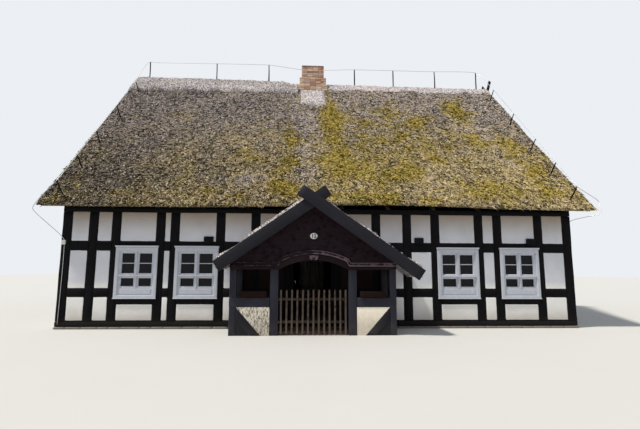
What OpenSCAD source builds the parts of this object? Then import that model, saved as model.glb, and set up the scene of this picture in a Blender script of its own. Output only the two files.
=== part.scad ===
// Half timbered house with a thatched gable roof and a gabled porch.
// Length runs along X, the front faces -Y, the ridge lies over Y = 0 and the ground is Z = 0.

/* [Wall bays] */
// Bay widths from the left corner post to the left door post, post centre to post centre
left_bays = [710, 610, 1190, 390, 1240, 960, 880]; // [390:10:1400]
// Which of the left bays hold a window
left_windows = [2, 4]; // [0:1:6]
// Bay widths from the right door post to the right corner post, post centre to post centre
right_bays = [1090, 875, 805, 1250, 540, 1190, 850]; // [390:5:1400]
// Which of the right bays hold a window
right_windows = [3, 5]; // [0:1:6]
// Width of the doorway bay, post centre to post centre
door_bay = 1380; // [1200:10:1600]
// Number of equal bays in a side wall
side_bays = 9; // [7:1:11]
// Width of one side wall bay, post centre to post centre
side_bay = 1182; // [1000:2:1400]
// Which of the side wall bays hold a window
side_windows_at = [2, 6]; // [0:1:8]

/* [Timber frame] */
// Width of a corner post seen from the front
corner_w = 240; // [180:10:300]
// Width of a wall post seen from the front
post_w = 200; // [140:10:240]
// Depth of the wall timbers
timber_d = 160; // [120:10:220]
// Height of the plinth above the ground
plinth_h = 60; // [30:5:150]
// How far the plinth stands out from the wall face
plinth_out = 20; // [0:5:60]
// Height of the sill beams
sill_h = 140; // [100:10:200]
// Underside of the wall plates above the ground
wall_h = 3120; // [2800:10:3400]
// Height of the wall plates
plate_h = 140; // [100:10:200]
// Underside of the upper rails above the ground
upper_rail_z = 2100; // [2000:10:2250]
// Height of the upper rails
upper_rail_h = 210; // [120:10:260]
// Underside of the lower rails above the ground
lower_rail_z = 860; // [800:10:1000]
// Height of the lower rails
lower_rail_h = 185; // [120:5:240]
// How far the infill stands back from the timber face
infill_set = 14; // [5:1:40]
// Thickness of the infill panels
infill_t = 130; // [80:5:140]
// Short timber blocks on the upper rail: the post that each stands by, counted from the left
block_post = [5, 10, 14]; // [1:1:14]
// Distance of each block's middle from the middle of that post
block_shift = [-315, 335, -245]; // [-600:5:600]
// Length, height and projection of these blocks
block_size = [260, 150, 40]; // [30:10:300]
// How far a block laps over the rail's face
block_lap = 30; // [20:5:60]

/* [Windows] */
// Underside of the rail below a window above the ground
window_rail_z = 670; // [600:10:760]
// Width of the casing boards
casing_w = 95; // [70:5:130]
// How far the casing laps over the timbers
casing_lap = 65; // [30:5:80]
// Thickness of the casing boards
casing_t = 28; // [18:2:40]
// Width and height of the cornice board over a window
cornice_size = [60, 45]; // [30:5:80]
// How far the cornice board stands out past the casing at each side
cornice_over = 15; // [0:5:40]
// Depth of the window frame
frame_d = 70; // [50:5:100]
// Width of the frame members, the mullion and the transom
frame_w = 60; // [45:5:80]
// Height of the panelled apron under the lights
apron_h = 235; // [150:5:300]
// Height of the lower lights as a share in thousandths of the glazed height
lower_light_mil = 330; // [250:10:500]
// Thickness of the glass
glass_t = 6; // [4:1:8]

/* [Doorway] */
// Width of the door frame members
door_frame_w = 70; // [50:5:100]
// Thickness of the door leaf
door_t = 45; // [30:5:60]
// Gap round the door leaf
door_gap = 5; // [3:1:12]
// Width of the door leaf's stiles and rails
door_stile = 120; // [90:5:160]
// Height of the door leaf's lock rail as a share of the leaf's height
lock_share = 0.42; // [0.35:0.01:0.5]
// Depth of the door leaf's panels below its stiles
door_panel_set = 12; // [5:1:15]

/* [Floors] */
// Thickness of the ceiling boards
ceiling_t = 30; // [20:5:50]
// Width of the ceiling beams
tie_w = 150; // [120:10:200]
// How far the ceiling beams reach below the wall plates
tie_drop = 40; // [0:10:80]
// Gap between the ceiling boards and the slope of the roof
ceiling_gap = 20; // [5:5:60]

/* [Main roof] */
// Slope of the main roof in degrees
roof_pitch = 47; // [42:1:52]
// Thickness of the thatch, square to the slope
thatch_t = 280; // [220:10:350]
// Overhang of the eave beyond the front wall face
eave_out = 400; // [300:10:500]
// Overhang of the thatch beyond the end wall face
verge_out = 490; // [300:10:600]
// How far the right end of the ridge stands in from the foot of its verge
right_ridge_in = 250; // [0:10:350]
// Depth of the rafters, square to the slope
rafter_d = 120; // [100:5:160]
// Width of the rafters
rafter_w = 100; // [80:5:140]
// Rafter pairs on each side of the chimney
rafter_pairs = 6; // [5:1:8]
// Reach of the left ridge cap down each slope, measured level
left_cap_run = 720; // [400:10:900]
// Thickness of the left ridge cap, square to the slope
left_cap_t = 140; // [60:5:160]
// Reach of the right ridge cap down each slope, measured level
right_cap_run = 500; // [300:10:700]
// Thickness of the right ridge cap, square to the slope
right_cap_t = 60; // [40:5:120]
// Share of a ridge cap's reach over which it has its full thickness
cap_full = 0.92; // [0.7:0.01:0.97]
// Width of the rounded crown of the ridge caps
cap_crown_w = 260; // [160:10:320]
// Reach of the new thatch below the chimney down each slope, measured level
apron_run = 1430; // [800:10:1800]
// Thickness of this new thatch, square to the slope
apron_t = 50; // [30:5:80]
// Gap left between pieces that seat on a slope
seat_gap = 0.4; // [0.2:0.1:2]
// Width of the barge boards on the gables
barge_w = 200; // [150:10:260]
// How far the upper edge of these boards lies below the top of the thatch
barge_drop = 60; // [40:5:120]
// How far these boards stop short of the eave
barge_short = 20; // [0:5:60]
// Thickness of the barge boards on the gables
barge_t = 40; // [25:5:50]
// Length of the crossing ends over the right gable
horn_len = 400; // [250:10:600]
// Thickness of the gable boarding
gable_board_t = 30; // [20:5:40]

/* [Chimney] */
// Distance of the chimney's middle from the house's middle
chimney_x = -190; // [-400:5:400]
// Width of the chimney shaft along the ridge
chimney_w = 930; // [700:10:1100]
// Depth of the chimney shaft across the ridge
chimney_d = 620; // [500:10:900]
// Top of the chimney above the ground
chimney_top = 10155; // [9900:5:10600]
// How far the collar's lower course stands out beyond the shaft
collar_out = 140; // [60:5:180]
// Underside of the collar above the ground
collar_z = 9000; // [8990:5:9200]
// Height of the collar's lower course
collar_h = 260; // [150:10:400]
// How far the collar's upper course stands out beyond the shaft
upper_collar_out = 90; // [40:5:120]
// Height of the collar's upper course
upper_collar_h = 310; // [150:10:350]
// Wall thickness of the shaft round the flue
chimney_wall = 125; // [115:5:250]
// Depth of the open flue from the top
flue_deep = 1500; // [500:50:3000]

/* [Conductor] */
// Diameter of the wooden stakes
stake_dia = 46; // [30:2:70]
// Height of the ridge stakes over the ridge
stake_h = 680; // [500:10:900]
// Places of the ridge stakes along the ridge, from the house's middle
stake_x = [-7050, -4260, -2060, 1610, 3290, 5100, 6940]; // [-7300:10:7300]
// Places of the verge stakes as shares of the slope from ridge to eave
verge_stake_at = [0.15, 0.40, 0.62, 0.79, 0.94]; // [0.14:0.01:0.95]
// Distance of the verge stakes from the ends of the thatch
stake_inset = 470; // [300:10:800]
// Diameter of the verge stakes
verge_stake_dia = 37; // [24:1:60]
// Length of the verge stakes above the thatch
verge_stake_len = 450; // [250:10:550]
// Depth to which the stakes are driven into the thatch
stake_root = 180; // [100:10:260]
// Diameter of the conductor wire
wire_dia = 12; // [8:1:16]
// Gap between the wire and the walls and boards that it passes
wire_clear = 30; // [15:5:60]
// How far the wire bows out past the right verge
wire_bow = 250; // [150:10:400]
// Height of the wire's feet above the plinth
wire_foot = 60; // [20:5:200]
// Distance of the clamp box's middle from the end of the wall
clamp_in = 90; // [60:5:120]
// Height of the middle of the clamp box on the left corner post
clamp_z = 2290; // [2000:10:2600]
// Width, projection and height of the clamp box
clamp_size = [90, 60, 120]; // [40:10:160]

/* [Porch] */
// Depth of the porch from the wall face to the front of its posts
porch_d = 1230; // [1100:10:1600]
// Distance of the outer posts' middle from the porch's middle
outer_post_x = 1962; // [1800:2:2200]
// Distance of the inner posts' middle from the porch's middle
inner_post_x = 962; // [850:2:1050]
// Width of the outer posts
outer_post_w = 170; // [140:5:220]
// Width of the inner posts
inner_post_w = 210; // [160:5:240]
// Depth of the porch posts
porch_post_d = 160; // [120:5:200]
// Underside of the porch lintel and plates above the ground
porch_head_z = 1577; // [1500:1:1800]
// Height of the porch plates
porch_plate_h = 150; // [120:5:200]
// Underside of the parapet rails above the ground
parapet_z = 670; // [600:5:750]
// Height of the parapet rails
parapet_h = 235; // [150:5:260]
// Width of the diagonal braces
brace_w = 190; // [120:5:220]
// Distance of a brace's foot from the inner post
brace_foot_in = 210; // [120:10:300]
// Thickness of the braces
brace_t = 120; // [80:5:150]
// How far the plaster stands back from the braces
panel_set = 10; // [5:1:30]
// Thickness of the plastered panels
panel_t = 100; // [60:5:110]
// Height of the porch floor
porch_floor_h = 80; // [60:5:150]
// Slope of the porch roof in degrees
porch_pitch = 35; // [30:1:42]
// Thickness of the porch thatch, square to the slope
porch_thatch_t = 200; // [120:5:250]
// Depth of the porch rafters, square to the slope
porch_rafter_d = 60; // [50:5:100]
// Width of the porch rafters
porch_rafter_w = 80; // [60:5:110]
// Distance of the first and last porch rafters from the lintel and the house wall
porch_rafter_ends = [20, 140]; // [0:10:200]
// Number of porch rafter pairs
porch_rafter_pairs = 3; // [2:1:4]
// Level reach of the porch roof to the left of its ridge
porch_left_run = 2400; // [2250:10:2600]
// Level reach of the porch roof to the right of its ridge
porch_right_run = 2680; // [2250:10:2800]
// How far the porch roof stands out in front of its posts
porch_roof_out = 250; // [150:10:400]
// Width of the porch barge boards
porch_barge_w = 300; // [200:10:320]
// Thickness of the porch barge boards
porch_barge_t = 40; // [25:5:50]
// How far the upper edge of these boards lies below the top of the porch thatch
porch_barge_drop = 12; // [0:2:60]
// How far these boards stop short of the porch eave
porch_barge_short = 60; // [20:10:120]
// Length of the crossing ends over the porch
porch_horn_len = 420; // [250:10:500]
// Rise of the door arch above the lintel's straight underside
arch_rise = 228; // [150:2:300]
// Half width of the door arch
arch_half = 850; // [760:5:880]
// Height of the lintel over its straight underside
lintel_h = 173; // [140:1:220]
// Thickness of the lintel
lintel_t = 60; // [40:5:80]
// Height of the lintel over the arch
arch_ring = 243; // [200:1:300]
// Width of the slanting step from the straight lintel up to the arch
shoulder_w = 80; // [40:5:120]
// How far the shoulders lean inward for each unit that an edge lies lower
shoulder_lean = 0.6; // [0:0.1:1]
// Height of the hood moulding
hood_h = 95; // [70:5:110]
// Projection of the hood moulding
hood_out = 54; // [30:2:80]
// Number of steps in the hood moulding
hood_steps = 3; // [2:1:4]
// Width of the keystone at its foot
key_w = 170; // [120:5:220]
// Width of the keystone at its head
key_head_w = 240; // [180:5:300]
// Height of the keystone's foot over the crown of the opening
key_rise = 8; // [0:2:30]
// Projection of the keystone as a share of the hood moulding's
key_out = 0.75; // [0.3:0.05:1]
// Length, depth and height of a flower box
flower_box = [640, 190, 150]; // [120:10:680]
// Thickness of a flower box's boards
flower_box_wall = 20; // [12:1:30]
// How far a flower box stands out in front of the parapet
flower_box_out = 40; // [0:5:80]
// Width and height of the oval number plate
number_plate = [186, 150]; // [100:2:260]
// Height of the middle of the number plate above the ground
number_plate_z = 2407; // [2300:1:2600]
// Thickness of the number plate
number_plate_t = 6; // [3:1:10]

/* [Gate] */
// Height of the gate's top above the ground
gate_top = 1095; // [1000:5:1200]
// Height of the gate's underside above the ground
gate_bottom = 40; // [20:5:80]
// Number of pickets
picket_count = 13; // [9:1:17]
// Width of a picket
picket_w = 52; // [35:1:70]
// Thickness of a picket
picket_t = 22; // [15:1:30]
// Height of the gate rails
gate_rail_h = 60; // [40:5:90]
// Thickness of the gate rails
gate_rail_t = 32; // [20:2:50]
// Heights of the middle of the gate rails above the ground
gate_rail_z = [323, 862]; // [200:1:950]
// Gap between the gate and its posts
gate_gap = 36; // [34:1:60]
// Diameter of the hinge pins
pintle_dia = 14; // [10:1:15]
// Gap between a hinge pin and its eye
pintle_play = 0.5; // [0.3:0.1:1]
// How far the pickets stand back from the front of the posts
picket_set = 4; // [2:1:20]
// How far the rails run on past the outer pickets
rail_end = 12; // [5:1:30]
// Height of the hinge eyes
eye_h = 30; // [20:2:50]
// Wall of the hinge eyes round the pin
eye_wall = 5; // [4:1:7]
// Thickness of the hinge straps
strap_t = 6; // [4:1:8]
// Length of the hinge straps along the rail
strap_len = 320; // [200:10:500]
// Height of the hooks that carry the pins
hook_h = 14; // [10:1:20]
// Gap between a hook and the eye over it
hook_gap = 2; // [1:1:6]

/* [Hidden] */

function total(v, n) = n <= 0 ? 0 : v[n - 1] + total(v, n - 1);

// House size from the bays
left_run = total(left_bays, len(left_bays));
right_run = total(right_bays, len(right_bays));
house_len = left_run + door_bay + right_run + corner_w;
half_len = house_len / 2;
side_run = side_bays * side_bay;
house_depth = side_run + timber_d;
half_depth = house_depth / 2;
face_y = -half_depth;
door_x = -half_len + corner_w / 2 + left_run + door_bay / 2;

// Heights
floor_z = plinth_h + sill_h;
plate_top = wall_h + plate_h;

// Front posts, from left to right, as distances from the left end of the wall
left_posts = [for (i = [0:len(left_bays)]) corner_w / 2 + total(left_bays, i)];
right_posts = [for (i = [0:len(right_bays)])
               corner_w / 2 + left_run + door_bay + total(right_bays, i)];
front_at = concat(left_posts, right_posts);
front_n = len(front_at);
door_index = len(left_bays);
front_windows_at = concat(left_windows, [for (i = right_windows) door_index + 1 + i]);
function run_widths(n, end_w) = [for (i = [0:n - 1]) i == 0 || i == n - 1 ? end_w : post_w];
front_widths = run_widths(front_n, corner_w);

// The back wall is the front turned round, with a middle post where the doorway is
door_middle = (left_posts[door_index] + right_posts[0]) / 2;
back_at = concat([for (i = [len(right_posts) - 1:-1:0]) house_len - right_posts[i]],
                 [house_len - door_middle],
                 [for (i = [door_index:-1:0]) house_len - left_posts[i]]);
back_n = len(back_at);
back_widths = run_widths(back_n, corner_w);
back_windows_at = concat([for (i = right_windows) len(right_bays) - 1 - i],
                         [for (i = left_windows) back_n - 2 - i]);

// Side posts, the first and last being the corner posts of the long walls
side_at = [for (i = [0:side_bays]) timber_d / 2 + i * side_bay];
side_widths = run_widths(side_bays + 1, timber_d);

// Roof lines: height of the thatch's underside and top at a distance from the ridge
slope = tan(roof_pitch);
thatch_v = thatch_t / cos(roof_pitch);
rafter_v = rafter_d / cos(roof_pitch);
function under_z(y) = plate_top + (half_depth - y) * slope;
eave_y = half_depth + eave_out;
eave_z = under_z(eave_y) + thatch_v;
ridge_under_z = under_z(0);
ridge_top_z = ridge_under_z + thatch_v;
soffit_y = half_depth + (plate_top - eave_z) / slope;
verge_x = half_len + verge_out;
crown_y = chimney_d / 2;
verge_lean = atan(right_ridge_in / (ridge_top_z - eave_z));

// Rafter places left and right of the chimney
chimney_left = chimney_x - chimney_w / 2;
chimney_right = chimney_x + chimney_w / 2;
collar_w = chimney_w + 2 * collar_out;
first_rafter = -half_len + rafter_w / 2;
left_rafter = chimney_left - collar_out - rafter_w;
right_rafter = chimney_right + collar_out + rafter_w;
left_rafter_gap = (left_rafter - first_rafter) / (rafter_pairs - 1);
right_rafter_gap = (-first_rafter - right_rafter) / (rafter_pairs - 1);
rafter_x = concat([for (i = [0:rafter_pairs - 1]) first_rafter + i * left_rafter_gap],
                  [for (i = [0:rafter_pairs - 1]) right_rafter + i * right_rafter_gap]);

// Porch
porch_y = face_y - porch_d;
porch_slope = tan(porch_pitch);
outer_edge = outer_post_x + outer_post_w / 2;
porch_plate_top = porch_head_z + porch_plate_h;
porch_rafter_v = porch_rafter_d / cos(porch_pitch);
porch_thatch_v = porch_thatch_t / cos(porch_pitch);
function porch_under_z(s) = porch_plate_top + porch_rafter_v + (outer_edge - s) * porch_slope;
porch_ridge_z = porch_under_z(0) + porch_thatch_v;
porch_barge_v = porch_barge_w / cos(porch_pitch);
porch_barge_z = porch_ridge_z - porch_barge_drop - porch_barge_v / 2;
porch_front_y = porch_y - porch_roof_out;

// Gate, hung on two pins in front of the left inner post's face
gate_left = door_x - inner_post_x + inner_post_w / 2;
gate_right = door_x + inner_post_x - inner_post_w / 2;
picket_y = porch_y + picket_set;
hinge_x = gate_left + gate_gap / 2;
hinge_y = picket_y + pintle_dia / 2;
eye_dia = pintle_dia + 2 * eye_wall;
rail_front_y = picket_y + picket_t;
rail_back_y = rail_front_y + gate_rail_t;

// A box from one corner to the opposite one
module block(p, q) {
    translate(p) cube(q - p);
}

// An upright outline in the YZ plane carried from x0 to x1
module profile_x(x0, x1, pts) {
    translate([x0, 0, 0]) rotate([90, 0, 90]) linear_extrude(x1 - x0) polygon(pts);
}

// An upright outline in the XZ plane carried from y0 to y1
module profile_y(y0, y1) {
    translate([0, y1, 0]) rotate([90, 0, 0]) linear_extrude(y1 - y0) children();
}

// A round bar between two points
module bar(p, q, d) {
    v = q - p;
    len_v = norm(v);
    translate(p) rotate([0, acos(v[2] / len_v), atan2(v[1], v[0])])
        cylinder(d = d, h = len_v, $fn = 24);
}

// Places a wall drawn along +X from 0, outer face at Y = 0, inside towards +Y
module on_front() { translate([-half_len, face_y, 0]) children(); }
module on_back() { translate([half_len, half_depth, 0]) rotate(180) children(); }
module on_left() { translate([-half_len, half_depth, 0]) rotate(-90) children(); }
module on_right() { translate([half_len, -half_depth, 0]) rotate(90) children(); }

// Is bay i in the list of window bays
function has(list, i) = len(search(i, list)) > 0;

// Posts of one run, centres given along the wall, without the first and last skip posts
module run_posts(at, widths, skip) {
    for (i = [skip:len(at) - 1 - skip])
        block([at[i] - widths[i] / 2, 0, floor_z], [at[i] + widths[i] / 2, timber_d, wall_h]);
}

// Rails between the posts of one run, the door bay having the upper one alone
module run_rails(at, widths, windows, door) {
    for (i = [0:len(at) - 2]) {
        a = at[i] + widths[i] / 2;
        b = at[i + 1] - widths[i + 1] / 2;
        low = has(windows, i) ? window_rail_z : lower_rail_z;
        if (i != door)
            block([a, 0, low], [b, timber_d, low + lower_rail_h]);
        block([a, 0, upper_rail_z], [b, timber_d, upper_rail_z + upper_rail_h]);
    }
}

// Infill panels between the posts and rails of one run
module run_infill(at, widths, windows, door) {
    for (i = [0:len(at) - 2]) {
        a = at[i] + widths[i] / 2;
        b = at[i + 1] - widths[i + 1] / 2;
        low = has(windows, i) ? window_rail_z : lower_rail_z;
        back = infill_set + infill_t;
        if (i != door)
            block([a, infill_set, floor_z], [b, back, low]);
        if (i != door && !has(windows, i))
            block([a, infill_set, low + lower_rail_h], [b, back, upper_rail_z]);
        block([a, infill_set, upper_rail_z + upper_rail_h], [b, back, wall_h]);
    }
}

// One window with its frame, mullion, transom, apron, casing and cornice, opening w by h
module window_unit(w, h) {
    light_h = h - apron_h - frame_w;
    transom_z = apron_h + light_h * lower_light_mil / 1000;
    difference() {
        block([0, 0, 0], [w, frame_d, h]);
        for (side = [0, 1]) {
            x0 = side == 0 ? frame_w : w / 2 + frame_w / 2;
            x1 = side == 0 ? w / 2 - frame_w / 2 : w - frame_w;
            block([x0, -1, apron_h], [x1, frame_d + 1, transom_z - frame_w / 2]);
            block([x0, -1, transom_z + frame_w / 2], [x1, frame_d + 1, h - frame_w]);
        }
    }
    difference() {
        block([-casing_lap, -casing_t, -casing_lap], [w + casing_lap, 0, h + casing_lap]);
        block([casing_w - casing_lap, -casing_t - 1, apron_h],
              [w - casing_w + casing_lap, 1, h + casing_lap - casing_w]);
    }
    block([-casing_lap - cornice_over, -cornice_size[0], h + casing_lap],
          [w + casing_lap + cornice_over, 0, h + casing_lap + cornice_size[1]]);
}

// The windows of one run
module run_windows(at, widths, windows) {
    z = window_rail_z + lower_rail_h;
    for (i = windows) {
        a = at[i] + widths[i] / 2;
        b = at[i + 1] - widths[i + 1] / 2;
        translate([a, 0, z]) window_unit(b - a, upper_rail_z - z);
    }
}

// The glass of one run, one sheet behind each window frame
module run_glass(at, widths, windows) {
    z = window_rail_z + lower_rail_h;
    for (i = windows) {
        a = at[i] + widths[i] / 2;
        b = at[i + 1] - widths[i + 1] / 2;
        block([a + frame_w / 2, frame_d, z + apron_h - frame_w / 2],
              [b - frame_w / 2, frame_d + glass_t, upper_rail_z - frame_w / 2]);
    }
}

module plinth() {
    color("dimgray") difference() {
        block([-half_len - plinth_out, -half_depth - plinth_out, 0],
              [half_len + plinth_out, half_depth + plinth_out, plinth_h]);
        block([-half_len + timber_d, -half_depth + timber_d, -1],
              [half_len - timber_d, half_depth - timber_d, plinth_h + 1]);
    }
}

module floor() {
    color("sienna") block([-half_len + timber_d, -half_depth + timber_d, 0],
                          [half_len - timber_d, half_depth - timber_d, floor_z]);
}

// A square ring of timbers along the outside of the house from z0 to z1
module ring(z0, z1) {
    difference() {
        block([-half_len, -half_depth, z0], [half_len, half_depth, z1]);
        block([-half_len + timber_d, -half_depth + timber_d, z0 - 1],
              [half_len - timber_d, half_depth - timber_d, z1 + 1]);
    }
}
module sill_beams() { color("black") ring(plinth_h, floor_z); }

module wall_posts() {
    color("black") {
        on_front() run_posts(front_at, front_widths, 0);
        on_back() run_posts(back_at, back_widths, 0);
        on_left() run_posts(side_at, side_widths, 1);
        on_right() run_posts(side_at, side_widths, 1);
    }
}
module wall_rails() {
    color("black") {
        on_front() run_rails(front_at, front_widths, front_windows_at, door_index);
        on_back() run_rails(back_at, back_widths, back_windows_at, -1);
        on_left() run_rails(side_at, side_widths, side_windows_at, -1);
        on_right() run_rails(side_at, side_widths, side_windows_at, -1);
    }
}
module wall_infill() {
    color("whitesmoke") {
        on_front() run_infill(front_at, front_widths, front_windows_at, door_index);
        on_back() run_infill(back_at, back_widths, back_windows_at, -1);
        on_left() run_infill(side_at, side_widths, side_windows_at, -1);
        on_right() run_infill(side_at, side_widths, side_windows_at, -1);
    }
}
module windows() {
    color("white") {
        on_front() run_windows(front_at, front_widths, front_windows_at);
        on_back() run_windows(back_at, back_widths, back_windows_at);
        on_left() run_windows(side_at, side_widths, side_windows_at);
        on_right() run_windows(side_at, side_widths, side_windows_at);
    }
}
module window_glass() {
    color("slategray") {
        on_front() run_glass(front_at, front_widths, front_windows_at);
        on_back() run_glass(back_at, back_widths, back_windows_at);
        on_left() run_glass(side_at, side_widths, side_windows_at);
        on_right() run_glass(side_at, side_widths, side_windows_at);
    }
}
// Short blocks planted on the upper rail
module rail_blocks() {
    z = upper_rail_z + upper_rail_h - block_lap;
    color("black") on_front() for (i = [0:len(block_post) - 1]) {
        x = front_at[block_post[i]] + block_shift[i];
        block([x - block_size[0] / 2, -block_size[2], z], [x + block_size[0] / 2, 0, z + block_size[1]]);
    }
}

// Frame in the doorway, two jambs and a head
module door_frame() {
    a = door_x - door_bay / 2 + post_w / 2;
    b = door_x + door_bay / 2 - post_w / 2;
    color("saddlebrown") difference() {
        block([a, face_y, floor_z], [b, face_y + timber_d, upper_rail_z]);
        block([a + door_frame_w, face_y - 1, floor_z - 1],
              [b - door_frame_w, face_y + timber_d + 1, upper_rail_z - door_frame_w]);
    }
}

// Panelled door leaf turned right back against the inside of the wall
module front_door() {
    w = door_bay - post_w - 2 * (door_frame_w + door_gap);
    h = upper_rail_z - door_frame_w - floor_z - 2 * door_gap;
    z0 = floor_z + door_gap;
    hinge_side = door_x - door_bay / 2 + post_w / 2 + door_frame_w;
    y0 = face_y + timber_d + door_gap;
    lock_z = z0 + h * lock_share;
    color("saddlebrown") difference() {
        block([hinge_side - w, y0, z0], [hinge_side, y0 + door_t, z0 + h]);
        for (z = [[z0 + door_stile, lock_z], [lock_z + door_stile, z0 + h - door_stile]])
            for (y = [y0 - 1, y0 + door_t - door_panel_set])
                block([hinge_side - w + door_stile, y, z[0]],
                      [hinge_side - door_stile, y + door_panel_set + 1, z[1]]);
    }
}

module wall_plates() { color("black") ring(wall_h, plate_top); }

module tie_beams() {
    color("sienna") for (i = [1:2 * rafter_pairs - 2])
        block([rafter_x[i] - tie_w / 2, -half_depth + timber_d, wall_h - tie_drop],
              [rafter_x[i] + tie_w / 2, half_depth - timber_d, plate_top]);
}

module ceiling_boards() {
    inset = timber_d + ceiling_t / slope + ceiling_gap;
    color("burlywood") difference() {
        block([-half_len + timber_d, -half_depth + inset, plate_top],
              [half_len - timber_d, half_depth - inset, plate_top + ceiling_t]);
        chimney_body();
    }
}

// Rafters of one slope, standing on the wall plate and meeting the other slope at the ridge
module rafter_slope() {
    heel = half_depth - seat_gap;
    peak = ridge_under_z - seat_gap * slope;
    for (x = rafter_x)
        profile_x(x - rafter_w / 2, x + rafter_w / 2,
                  [[-heel, plate_top], [rafter_v / slope - heel, plate_top],
                   [0, peak - rafter_v], [0, peak]]);
}
module rafters_front() { color("peru") rafter_slope(); }
module rafters_back() { color("peru") mirror([0, 1, 0]) rafter_slope(); }

// Boarded triangle of each gable, over the gable plate and outside the end rafters
module gable_boards() {
    heel = half_depth - seat_gap;
    color("saddlebrown") for (s = [0, 1]) mirror([s, 0, 0])
        profile_x(half_len, half_len + gable_board_t,
                  [[-heel, plate_top], [heel, plate_top], [0, ridge_under_z - seat_gap * slope]]);
}

// Turns what hangs at the right verge inward about the verge's foot
module lean_in() {
    translate([verge_x, 0, eave_z]) rotate([0, -verge_lean, 0]) translate([-verge_x, 0, -eave_z])
        children();
}

// Everything beyond the leaning right verge
module past_right_verge() {
    lean_in() block([verge_x - seat_gap, -house_depth, eave_z - house_depth],
                    [verge_x + house_depth, house_depth, 2 * house_depth]);
}

// Thatch of one slope, from the eave up to the ridge course, laid up to the chimney
module thatch_slope() {
    difference() {
        profile_x(-verge_x, verge_x,
                  [[-eave_y, eave_z], [-soffit_y, eave_z], [-crown_y, under_z(crown_y)],
                   [-crown_y, under_z(crown_y) + thatch_v]]);
        past_right_verge();
        chimney_body();
    }
}
module thatch_front() { color("rosybrown") thatch_slope(); }
module thatch_back() { color("rosybrown") mirror([0, 1, 0]) thatch_slope(); }

// Ridge course of the thatch, as deep as the chimney and laid up to it from both sides
module thatch_crown() {
    color("rosybrown") difference() {
        profile_x(-verge_x, verge_x,
                  [[-crown_y, under_z(crown_y)], [0, ridge_under_z], [crown_y, under_z(crown_y)],
                   [crown_y, under_z(crown_y) + thatch_v], [0, ridge_top_z],
                   [-crown_y, under_z(crown_y) + thatch_v]]);
        past_right_verge();
        chimney_body();
    }
}

// Saddle of new thatch over the ridge from x0 to x1: half its outline, then the mirrored half
module ridge_cap(x0, x1, run, t) {
    v = t / cos(roof_pitch);
    seat = ridge_top_z + seat_gap;
    nose = t / 2;
    side = [[0, seat], [-run, seat - run * slope],
            [-run - nose * sin(roof_pitch), seat - run * slope + nose * cos(roof_pitch)],
            [-run * cap_full, seat - run * cap_full * slope + v],
            [-cap_crown_w / 2, seat + v - slope * cap_crown_w / 2]];
    crown = [for (a = [-1:0.25:1]) [a * cap_crown_w / 2,
             seat + v - slope * cap_crown_w / 4 * (1 + a * a)]];
    other = [for (i = [4:-1:1]) [-side[i][0], side[i][1]]];
    profile_x(x0, x1, concat(side, [for (i = [1:7]) crown[i]], other));
}
// New thatch laid on one slope below the chimney's collar
module chimney_apron() {
    top = chimney_d / 2 + collar_out;
    seat = ridge_top_z + seat_gap;
    half = chimney_w / 2 + upper_collar_out;
    profile_x(chimney_x - half, chimney_x + half,
              [[-top, seat - top * slope], [-apron_run, seat - apron_run * slope],
               [-apron_run - apron_t * sin(roof_pitch),
                seat - apron_run * slope + apron_t * cos(roof_pitch)],
               [-top, seat - top * slope + apron_t / cos(roof_pitch)]]);
}
module ridge_caps() {
    color("tan") {
        ridge_cap(-verge_x, chimney_x - collar_w / 2, left_cap_run, left_cap_t);
        difference() {
            ridge_cap(chimney_x + collar_w / 2, verge_x, right_cap_run, right_cap_t);
            past_right_verge();
        }
        for (s = [0, 1]) mirror([0, s, 0]) chimney_apron();
    }
}

// One barge board of a gable: lies along the end of the thatch, a little below its top
module gable_barge(x0, horn) {
    top = ridge_top_z - barge_drop;
    rise = horn * sin(roof_pitch);
    run = horn * cos(roof_pitch);
    edge = eave_y - barge_short;
    profile_x(x0, x0 + barge_t,
              [[-edge, top - edge * slope], [run, top + rise],
               [run + barge_w * sin(roof_pitch), top + rise - barge_w * cos(roof_pitch)],
               [-edge + barge_w * sin(roof_pitch), top - edge * slope - barge_w * cos(roof_pitch)]]);
}
// The two boards of one gable, the rear one outside the front one where they cross
module gable_barge_pair(horn) {
    gable_barge(verge_x, horn);
    translate([barge_t, 0, 0]) mirror([0, 1, 0]) gable_barge(verge_x, horn);
}
module gable_barge_boards() {
    color("black") {
        lean_in() gable_barge_pair(horn_len);
        mirror([1, 0, 0]) gable_barge_pair(0);
    }
}

// A course of brickwork round the chimney, standing out beyond the shaft, from z0 to z1
module chimney_course(out, z0, z1) {
    block([chimney_left - out, -chimney_d / 2 - out, z0],
          [chimney_right + out, chimney_d / 2 + out, z1]);
}
module chimney_body() {
    chimney_course(0, floor_z, chimney_top);
    chimney_course(collar_out, collar_z, collar_z + collar_h);
    chimney_course(upper_collar_out, collar_z + collar_h, collar_z + collar_h + upper_collar_h);
}
module chimney() {
    color("indianred") difference() {
        chimney_body();
        block([chimney_left + chimney_wall, -chimney_d / 2 + chimney_wall, chimney_top - flue_deep],
              [chimney_right - chimney_wall, chimney_d / 2 - chimney_wall, chimney_top + 1]);
    }
}

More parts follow.
